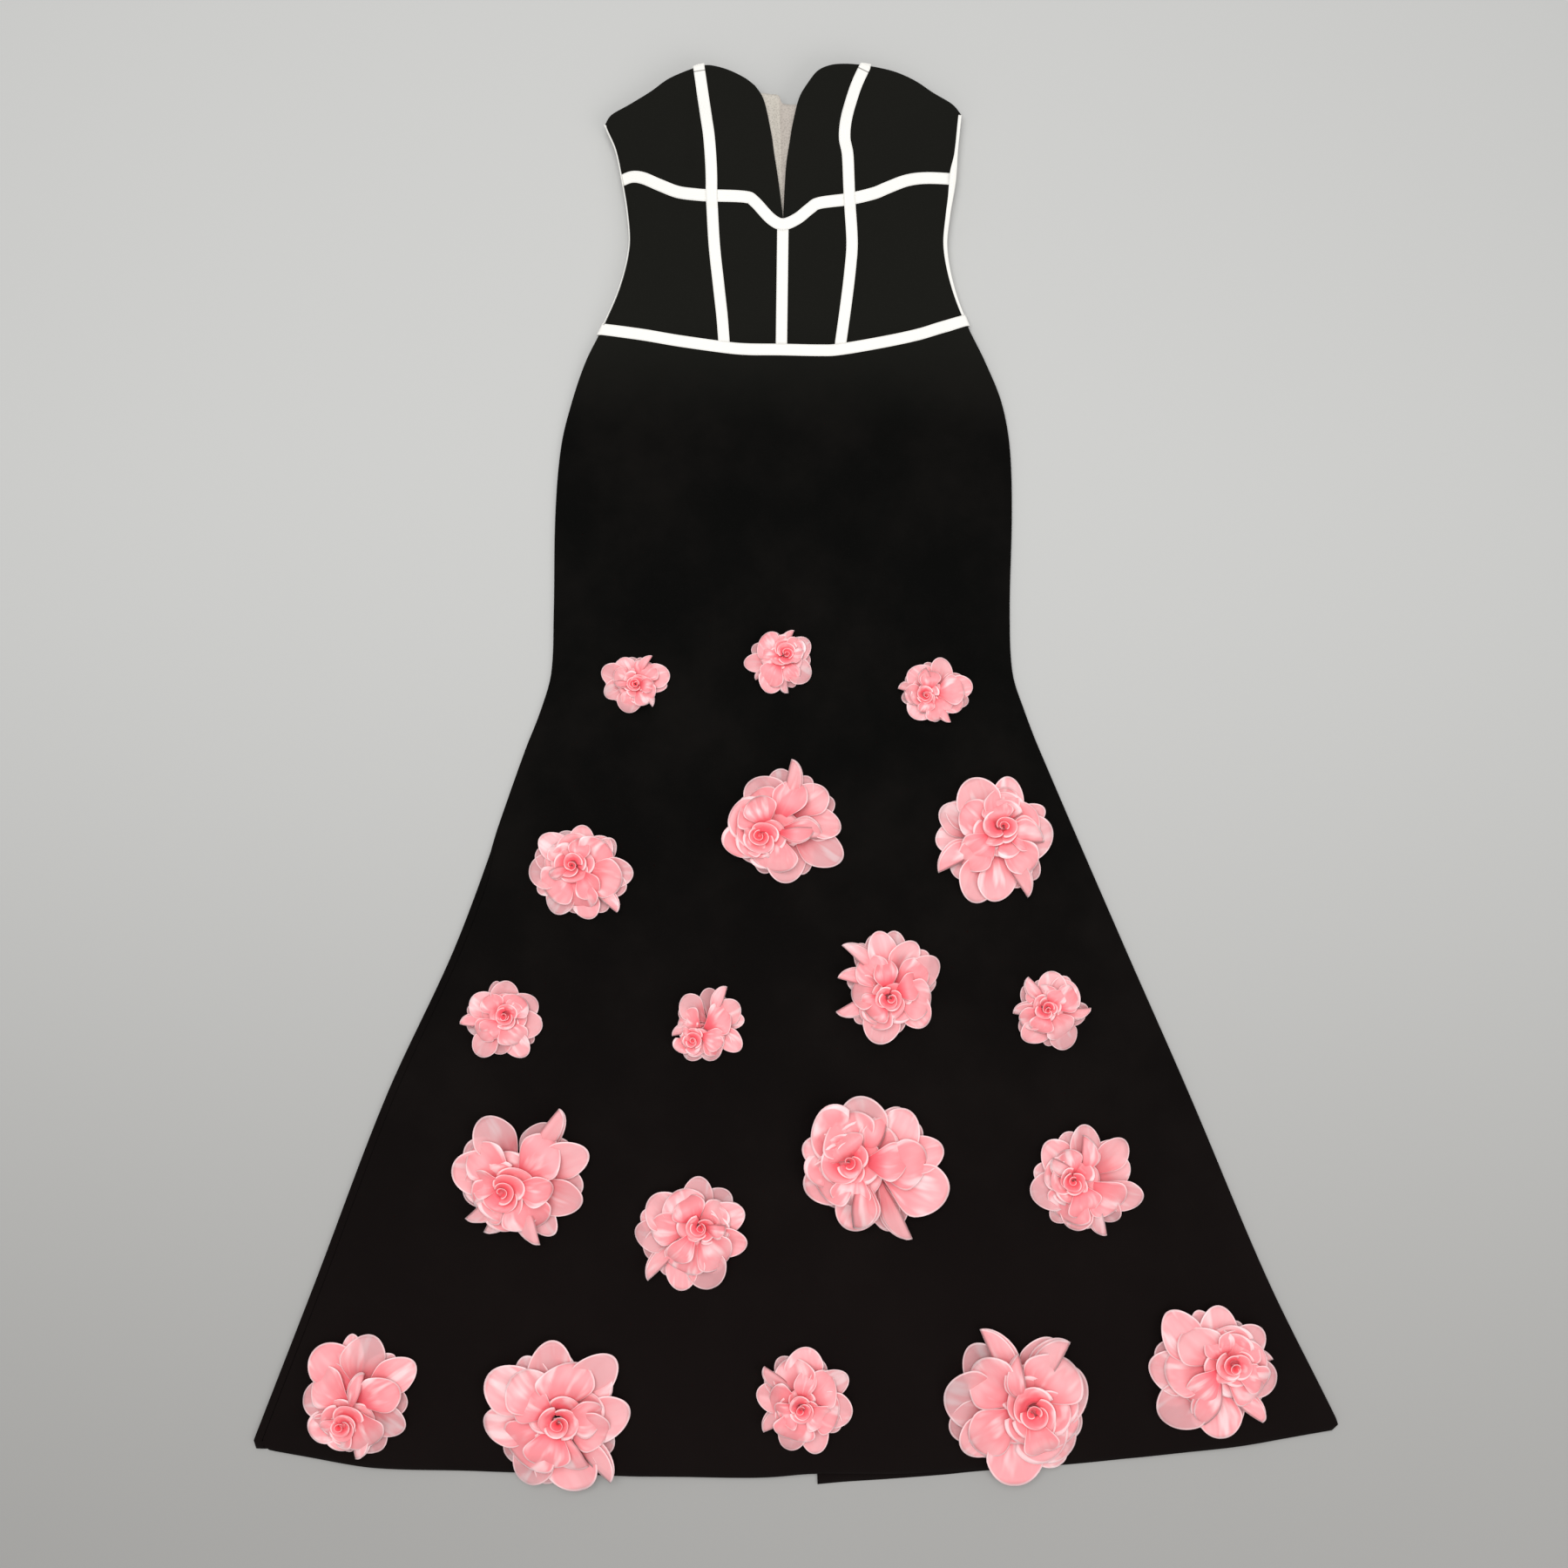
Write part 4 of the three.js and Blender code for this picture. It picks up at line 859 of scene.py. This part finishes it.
def makeTapes():
    waistY, bustY = lookUp(seams["waist"], 0), lookUp(seams["underbust"], 0)
    half = tape["wide"] / 2
    s = seams

    def topOf(x, y, rise=0.0):
        return frontTop(x, y) + tape["clear"] + rise

    def waistPoint(u, v):
        where, t = turnedEnds(v)
        if where == "middle":
            x, y = acrossTape(s["waist"], t, u)
            low, high = leftEdge(y) - tape["wrapClear"], rightEdge(y) + tape["wrapClear"]
            x = clamp(x, low, high)
            return x, y, topOf(clamp(x, low + 1, high - 1), y)
        way, edge = (-1, leftEdge) if where == "start" else (1, rightEdge)
        x, y = acrossTape(s["waist"], 0 if way < 0 else 1, u)
        topZ = topOf(edge(y) - way, y)
        lowZ = backUnder(edge(y) - way * max(0, t - 0.5) * 2 * tape["wrapDeep"], y) - tape["clear"]
        out, z = turnProfile(t, topZ, lowZ)
        return edge(y) + way * out, y, z

    tapePiece("tape_waist", 6, 150, waistPoint, 352)

    def flangeAt(y):
        return readColumn(tape["rightFlange"], 1, y)

    # under the bust, from one side tape to the other, its ends cut along them
    shareAtX = lookUp(lambda t: [s["underbust"](t)[0], t], 0)
    bustEnds = [shareAtX(leftEdge(536) + 0.5), shareAtX(rightEdge(536) - flangeAt(536) + 0.5)]

    def bustPoint(u, v):
        x, y = acrossTape(s["underbust"], lerp(*bustEnds, v), u)
        if v == 0:
            x = leftEdge(y) + tape["leftFlange"] - 0.1
        if v == 1:
            x = rightEdge(y) - flangeAt(y) + 0.4
        return x, y, topOf(x, y)

    tapePiece("tape_underbust", 6, 130, bustPoint, 322)

    def centrePoint(u, v):
        x = lerp(-12.9, -11.6, v) + (u - 0.5) * tape["wide"]
        low, high = waistY(x) + half - 0.1, bustY(x) - half + 0.1
        y = lerp(low, high, v)
        return x, y, topOf(x, y)

    tapePiece("tape_centre", 6, 40, centrePoint, 97)

    def princess(side, neckY):
        path = twoPart(s[f"princess{side}Low"], s[f"princess{side}High"])
        main = 1 - tape["turnShare"]
        foot, head = path(0)[1] + half - 0.1, path(1)[1] - 1.5
        shareAt = lookUp(lambda t: [t, path(t)[1]], 1)

        def pointAt(u, v):
            if v <= main:
                level = lerp(foot, head, v / main)
                x, y = acrossTape(path, shareAt(level), u)
                if v == 0:
                    y = waistY(x) + half - 0.1
                away = abs(y - bustY(x))
                lifted = tape["over"] * (1 - smooth((away - 5.6) / 5))
                return x, y, topOf(x, y, lifted)
            x = acrossTape(path, 1, u)[0]
            edge = neckY(x)
            topZ = topOf(x, edge - 1)
            lowZ = frontUnder(x, edge - 1) - tape["clear"]
            out, z = turnProfile((v - main) / tape["turnShare"], topZ, lowZ)
            return x, edge + out, z

        tapePiece(f"tape_princess_{side.lower()}", 6, 150, pointAt, 262, tape["turnShare"])

    princess("Left", lookUp(twoPart(s["neckSideLeft"], s["neckCentreLeft"]), 0))
    princess("Right", lookUp(twoPart(s["neckCentreRight"], s["neckSideRight"]), 0))

    def sideTape(side, edge, way, flange, topY):
        footY = waistY(edge(405)) + half - 1.4
        front = tape["frontShare"]

        def pointAt(u, v):
            share = u if way > 0 else 1 - u
            y = lerp(footY, topY, v)
            if share < front:
                x = edge(y) - way * lerp(flange(y), 0, share / front)
                return x, y, topOf(x, y)
            topZ = topOf(edge(y) - way * 0.5, y)
            t = (share - front) / (1 - front)
            lowZ = backUnder(edge(y) - way * max(0, t - 0.5) * 2 * tape["hiddenFlange"], y) - tape["clear"]
            out, z = turnProfile(t, topZ, lowZ, tape["sideClear"], tape["sideBulge"])
            return edge(y) + way * out, y, z

        tapePiece(f"tape_side_{side.lower()}", 14, 90, pointAt, 184)

    sideTape("Left", leftEdge, -1, lambda y: tape["leftFlange"], sideLevels["left"][2] - 1)
    sideTape("Right", rightEdge, 1, flangeAt, sideLevels["right"][2] - 1)


makeTapes()
print("tapes made")

flowerTable = {
    # x, y, size across and along, height, outer petals, the bearing they are laid out from,
    # degrees left open there, bearings of the narrow petal and the longest one, bud
    "columns": ["x", "y", "wide", "tall", "high", "petals", "turn", "open", "slim", "long", "budX", "budY"],
    "rows": [
        (-144.1, 86.4, 60.9, 52.3, 17, 7, -10, 0, 90, 17, 0.03, -0.08),
        (-15.3, 105.6, 62.4, 57.8, 18, 7, 65, 0, 81, 187, 0.21, 0.21),
        (125.2, 78.3, 67.2, 57.8, 18, 7, 40, 0, 252, 210, -0.29, -0.13),
        (-192.4, -83.7, 93.7, 85.1, 24, 8, 70, 0, 298, 346, -0.13, 0.17),
        (-9.4, -38, 99.1, 110.8, 27, 8, 70, 0, 90, 297, -0.44, -0.22),
        (177.1, -54, 107, 110, 28, 8, 30, 0, 311, 6, 0.11, 0.21),
        (-264.2, -215.9, 73.3, 70.3, 20, 7, 60, 0, 188, 215, 0.13, 0.16),
        (-78.5, -219.1, 65.6, 67.1, 20, 7, 95, 36, 46, 300, -0.42, -0.4),
        (84.2, -186.3, 92.9, 101.4, 25, 8, -65, 30, 124, 9, -0.02, -0.17),
        (229, -207.8, 68.6, 71.1, 20, 7, 60, 0, 357, 272, -0.16, 0.09),
        (-247.4, -356.4, 120.9, 121.8, 30, 7, 85, 30, 66, 25, -0.21, -0.17),
        (-94, -406.4, 99.9, 99.9, 26, 8, 50, 0, 207, 66, 0.19, 0.17),
        (71, -349.8, 128.8, 128.8, 32, 8, 75, 0, 264, 341, -0.38, 0.19),
        (260.6, -359.6, 97.6, 99.9, 26, 7, 16, 26, 280, 350, -0.29, 0.04),
        (-391.4, -553.1, 101.5, 110.8, 26, 7, 60, 0, 269, 29, -0.24, -0.39),
        (-214.2, -571.5, 131.1, 133.5, 31, 8, 80, 0, 349, 75, 0.03, 0.02),
        (7.8, -556.2, 86.7, 93.6, 24, 8, 60, 0, 107, 74, -0.08, -0.09),
        (197.8, -560.5, 129.6, 144.4, 31, 7, 70, 0, 45, 100, 0.21, -0.02),
        (374.9, -531.6, 115.5, 119.4, 28, 8, 60, 0, 325, 107, 0.24, 0.2),
    ],
    # tiers from the cloth up: petals against the outer ones, reach, how wide, the widest as
    # a share of the flower's, heights of foot, crest and tip as shares of the flower's,
    # cupping, how far the tip curls down, warmth, how far the tier moves to the bud, and
    # the share of folded petals
    # warmth deepens the colour of the inner tiers: partly the cloth's own, partly painted shade where the
    # tiers overlap
    "tierColumns": [
        "more", "reach", "wide", "most", "foot", "crest", "tip", "cup", "curl", "warm", "toBud", "folded",
    ],
    "tiers": [
        (0, 0.98, 0.84, 0.6, 0.03, 0.06, 0.05, 0.02, 0.0, 0.0, 0.0, 0.03),
        (0, 1.0, 1.06, 0.76, 0.08, 0.14, 0.16, 0.05, 0.05, 0.1, 0.0, 0.1),
        (-3, 0.84, 1.08, 0.82, 0.16, 0.32, 0.3, 0.1, 0.12, 0.22, 0.4, 0.14),
        (-5, 0.66, 1.04, 0.6, 0.22, 0.42, 0.46, 0.16, 0.16, 0.32, 0.7, 0.3),
    ],
    # a petal's round end: shares of its span, and how far it draws in
    "petalEnd": [(0, 0.3), (0.22, 0.07), (0.5, 0), (0.78, 0.07)],
    "gapReach": 0.42,
    "petalThick": 0.28,
    "mostFolded": 3,     # folded petals on one flower at most
    # rings of short petals wound round the bud: how many, the radius of the rims as a share
    # of the flower's, the rims' height, the degrees that each spans, and warmth
    "wraps": [
        (4, 0.54, 0.46, 112, 0.2),
        (3, 0.38, 0.62, 150, 0.32),
        (2, 0.26, 0.76, 200, 0.44),
        (1, 0.17, 0.87, 270, 0.55),
        (1, 0.08, 0.95, 330, 0.68),
    ],
}


def disc(u, v):
    # a point of a square grid moved into the round, each side from -1 to 1
    a, b = u * 2 - 1, v * 2 - 1
    return a * math.sqrt(1 - b * b / 2), b * math.sqrt(1 - a * a / 2)


def petalPart(bm, layers, petal):
    # one petal: a round grid drawn out to a fan, cupped, ruffled, bent or folded double
    hand = petal["hand"]

    def pointAt(u, v):
        dx, dy = disc(u, v)
        along = (dy + 1) / 2
        half = petal["width"] / 2 * (0.26 + 0.74 * smooth(along / 0.7))
        side = dx * half
        lift = petal["cup"] * dx * dx * smooth(along * 1.6)
        if petal["doubled"]:
            # the half on one side lies folded over the other, along a crease
            over = dx * hand < 0
            side = hand * abs(dx) * half * (0.88 if over else 1) - hand * half * 0.4
            lift += (1.5 + 0.06 * half) * smooth(abs(dx) * 3) if over else 0
            lift += petal["high"] * 0.16 * (1 - abs(dx)) * smooth(along * 2)
        else:
            lift += abs(side) * math.sin(petal["fold"]) * smooth(along * 2)
            side *= math.cos(petal["fold"])
        turn = math.atan2(dx, dy)
        edge = (dx * dx + dy * dy) ** 1.5
        lift += petal["ruffle"] * math.sin(petal["waves"] * turn + petal["phase"]) * edge
        lift += side * petal["roll"]
        rise = lerp(petal["foot"], petal["tip"], along) + petal["crest"] * math.sin(math.pi * along)
        rise -= petal["curl"] * along**5
        side += petal["bend"] * along * along
        out = petal["start"] + along * petal["length"]
        cosB, sinB = math.cos(petal["bearing"]), math.sin(petal["bearing"])
        x = petal["x"] + cosB * out - sinB * side
        y = petal["y"] + sinB * out + cosB * side
        return x, y, frontTop(x, y) + max(rise + lift * smooth(along * 3), 0.5 + 0.4 * along)

    def discAt(u, v):
        dx, dy = disc(u, v)
        return (dx + 1) / 2, (dy + 1) / 2

    shares = gridPart(bm, 14, 12, pointAt, layers["uv"], discAt)
    for vert in shares:
        vert[layers["warmth"]] = petal["warm"]
        vert[layers["shade"]] = petal["shade"]


def wrapPart(bm, layers, wrap):
    # one short petal round the bud, leaning outwards, one end tucked inside the next
    def pointAt(u, v):
        turn = wrap["bearing"] + (u - 0.5) * wrap["span"]
        share = v * (1 - 0.4 * abs(2 * u - 1) ** 3)
        lean = 0.34 + 0.66 * share**0.75 + 0.06 * share**5
        radius = wrap["radius"] * lean * (1 + wrap["spiral"] * (0.5 - u))
        radius *= 1 + wrap["wave"] * math.sin(turn * 3 + wrap["bearing"]) * share
        z = lerp(wrap["foot"], wrap["top"], share) - wrap["droop"] * share**6
        x = wrap["x"] + math.cos(turn) * radius
        y = wrap["y"] + math.sin(turn) * radius * wrap["squash"]
        return x, y, frontTop(wrap["x"], wrap["y"]) + z

    def stripAt(u, v):
        return lerp(0.14, 0.86, u), 0.5 + v * 0.485

    shares = gridPart(bm, 22, 8, pointAt, layers["uv"], stripAt)
    for vert, (u, v) in shares.items():
        # deeper colour towards each wrap's foot: partly the cloth's own, partly painted shade down in the
        # bud
        vert[layers["warmth"]] = wrap["warm"] + 0.4 * (1 - v)
        vert[layers["shade"]] = wrap["shade"]


def vary(flower, petal, salt):
    # a number between -1 and 1 that differs for each flower and petal
    value = math.sin((flower + 1) * 12.9898 + (petal + 1) * 78.233 + salt * 37.719) * 43758.5453
    return (value - math.floor(value)) * 2 - 1


def turnsApart(a, b):
    return abs((a - b + 540) % 360 - 180)


def aimed(bearing, reach):
    return math.cos(math.radians(bearing)) * reach, math.sin(math.radians(bearing)) * reach


def petalPlan(flower, index):
    # the outer petals, uneven as on the real flower: tip place, bearing and span of each
    count = flower["petals"]
    room = 360 - flower["open"]
    start = flower["turn"] + flower["open"] / 2
    middles = [start + room * (k + 0.5) / count for k in range(count)]

    def nearest(bearing):
        return min(range(count), key=lambda k: turnsApart(middles[k], bearing))

    slim, longest = nearest(flower["slim"]), nearest(flower["long"])
    weights = [1 + 0.3 * vary(index, k, 2) for k in range(count)]
    weights[longest] = 1.3
    weights[slim] = 0.55
    plan, edge = [], []
    for k, weight in enumerate(weights):
        span = room * weight / sum(weights)
        reach = 1.03 if k in (slim, longest) else 0.92 + 0.07 * vary(index, k, 0)
        for share, drawn in flowerTable["petalEnd"]:
            bearing = start + span * share
            pulled = drawn + (0.04 * vary(index, k, 1) if share == 0 else 0)
            radius = reach * (1 - pulled)
            if share == 0 and k == 0 and flower["open"]:
                bearing, radius = flower["turn"], flowerTable["gapReach"]
            edge.append(aimed(bearing, radius))
        plan.append({
            "bearing": start + span / 2, "span": math.radians(span), "reach": reach, "slim": k == slim,
        })
        start += span
    lows, highs = ([pick(point[axis] for point in edge) for axis in (0, 1)] for pick in (min, max))
    for petal in plan:
        at = aimed(petal["bearing"], petal["reach"])
        petal["tip"] = [
            ((at[axis] - lows[axis]) / (highs[axis] - lows[axis]) - 0.5) * flower[size]
            for axis, size in ((0, "wide"), (1, "tall"))
        ]
    return plan


def tierPetal(flower, tier, level, k, plan, spin, chance):
    # where one petal of a tier points, how long and wide it is, and whether it is doubled
    wide, tall = flower["wide"], flower["tall"]
    if level == 1:
        tip = plan[k]["tip"]
        reach = math.hypot(*tip)
        spare = 1.25 if plan[k]["slim"] else chance.uniform(0.86, 1.06)
        width = plan[k]["span"] * reach * tier["wide"] * spare
        width = min(width, tier["most"] * (wide + tall) / 4 * chance.uniform(0.8, 1.15))
        return math.atan2(tip[1], tip[0]), reach, width, plan[k]["slim"] or chance.random() < tier["folded"]
    count = flower["petals"] + tier["more"]
    room = 360 - flower["open"]
    if level == 0:
        bearing = plan[k]["bearing"] + math.degrees(plan[k]["span"]) / 2 + chance.uniform(-8, 8)
    else:
        bearing = flower["turn"] + flower["open"] / 2 + room * (k + 0.5) / count
        # a deep gap goes through all tiers
        twist = 0 if flower["open"] else spin if level > 2 else 24
        bearing += twist + chance.uniform(-16, 16)
    radians = math.radians(bearing)
    reach = 1 / math.hypot(math.cos(radians) / (wide / 2), math.sin(radians) / (tall / 2))
    reach *= tier["reach"] * chance.uniform(0.84, 1.02)
    width = math.radians(room) / count * reach * tier["wide"] * chance.uniform(0.84, 1.2)
    width = min(width, tier["most"] * (wide + tall) / 4 * chance.uniform(0.76, 1.2))
    return radians, reach, width, chance.random() < tier["folded"]


def makeFlower(index, row):
    flower = dict(zip(flowerTable["columns"], row))
    chance = random.Random(100 + index)
    bm = bmesh.new()
    layers = {
        "uv": bm.loops.layers.uv.new("petal"),
        "warmth": bm.verts.layers.float.new("warmth"),
        "shade": bm.verts.layers.float.new("shade"),
    }
    high = flower["high"]
    size = (flower["wide"] + flower["tall"]) / 4
    budX, budY = flower["budX"] * flower["wide"] / 2, flower["budY"] * flower["tall"] / 2
    plan = petalPlan(flower, index)
    folded = 0
    for level, values in enumerate(flowerTable["tiers"]):
        tier = dict(zip(flowerTable["tierColumns"], values))
        spin = chance.uniform(0, 360)
        lean = chance.choice([-1, 1])
        for k in range(flower["petals"] + tier["more"]):
            radians, reach, width, doubled = tierPetal(flower, tier, level, k, plan, spin, chance)
            narrow = level == 1 and plan[k]["slim"]
            doubled = doubled and (narrow or folded < flowerTable["mostFolded"])
            folded += doubled
            start = size * 0.04
            shiftX, shiftY = budX * tier["toBud"], budY * tier["toBud"]
            if level > 1:
                # the petal still ends within the flower when its foot moves to the bud
                reach -= (shiftX * math.cos(radians) + shiftY * math.sin(radians)) * 0.6
            petalPart(bm, layers, {
                "x": flower["x"] + shiftX,
                "y": flower["y"] + shiftY,
                "bearing": radians,
                "start": start,
                "length": reach - start,
                "width": width,
                "high": high,
                "doubled": doubled,
                "hand": chance.choice([-1, 1]),
                "foot": tier["foot"] * high,
                "tip": tier["tip"] * high * chance.uniform(0.75, 1.2) + (k % 2) * 1.1,
                "crest": tier["crest"] * high * chance.uniform(0.6, 1.0),
                "curl": tier["curl"] * high * chance.uniform(0.4, 1.3),
                "cup": tier["cup"] * high * chance.uniform(-0.8, 1.3),
                "fold": math.radians(chance.uniform(0, 12)),
                "ruffle": chance.uniform(0.2, 0.9),
                "waves": chance.choice([1, 2, 2, 3]),
                "phase": chance.uniform(0, 6.3),
                "roll": lean * chance.uniform(0.03, 0.2),
                "bend": chance.uniform(-0.14, 0.14) * size,
                "warm": tier["warm"] + chance.uniform(-0.05, 0.08),
                "shade": chance.uniform(-1, 1),
            })
    budSize = size * (1 + 0.14 * vary(index, 3, 4))
    for ring, (count, radius, rim, span, warm) in enumerate(flowerTable["wraps"]):
        spin = chance.uniform(0, 360)
        for k in range(count):
            wrapPart(bm, layers, {
                "x": flower["x"] + budX + chance.uniform(-0.03, 0.03) * size,
                "y": flower["y"] + budY + chance.uniform(-0.03, 0.03) * size,
                "bearing": math.radians(spin + 360 * k / count + chance.uniform(-14, 14)),
                "span": math.radians(span * chance.uniform(0.85, 1.1)),
                "radius": budSize * radius * chance.uniform(0.88, 1.1),
                "droop": (0.08 - 0.014 * ring) * high,
                "wave": chance.uniform(0.01, 0.06),
                "spiral": chance.uniform(0.3, 0.5) + 0.06 * ring,
                "foot": high * (rim - 0.22),
                "top": high * rim * chance.uniform(0.96, 1.03),
                "squash": chance.uniform(0.86, 1.04),
                "warm": warm,
                "shade": chance.uniform(-1, 1),
            })
    finishPiece(bm, f"flower_{index + 1:02d}", "petal", flowerTable["petalThick"], offset=0.0)


for index, row in enumerate(flowerTable["rows"]):
    makeFlower(index, row)
print("flowers made")

studio = {
    "floor": rgb(0.455, 0.455, 0.445),
    # painted shade: the darker floor colour towards the bottom
    "shadedFloor": rgb(0.315, 0.31, 0.30),
    "camera": (-10.6, -4.4, 1415),
    "lens": 36,
    "sensor": 36,
    "world": 0.5,
    # name, place, size, power
    "lights": [
        ("overhead", (-0.25, 0.5, 2.4), 1.8, 54),
        ("fill", (1.6, -1.2, 1.8), 1.6, 16.5),
    ],
}


def makeStudio():
    bm = bmesh.new()
    bmesh.ops.create_grid(bm, x_segments=1, y_segments=1, size=3)
    bmesh.ops.translate(bm, verts=bm.verts, vec=(0, 0, -0.0004))
    material, start, feed = newMaterial("paleFloor", {"Roughness": 0.9, "Specular IOR Level": 0.2})
    place = start.node("ShaderNodeTexCoord", output=3)
    # painted shade: the floor darkens towards the bottom, where the light falls off
    feed("Base Color", place.part(1).step(0.35, -0.85).mixed(studio["floor"], studio["shadedFloor"]))
    floor = meshObject("floor", bm, material)

    camera = addObject("camera", bpy.data.cameras.new("camera"))
    camera.location = placed(*studio["camera"])
    camera.data.lens = studio["lens"]
    camera.data.sensor_width = studio["sensor"]
    camera.data.clip_start = 0.01
    bpy.context.scene.camera = camera

    for name, place, size, power in studio["lights"]:
        light = addObject(name, bpy.data.lights.new(name, "AREA"))
        light.data.size = size
        light.data.energy = power
        light.location = place
        light.rotation_euler = (-Vector(place)).to_track_quat("-Z", "Y").to_euler()
    world = bpy.context.scene.world or bpy.data.worlds.new("world")
    bpy.context.scene.world = world
    world.use_nodes = True
    background = world.node_tree.nodes["Background"]
    background.inputs["Color"].default_value = rgb(1, 1, 1)
    background.inputs["Strength"].default_value = studio["world"]
    bpy.context.scene.view_settings.view_transform = "Standard"


makeStudio()
print("studio made")
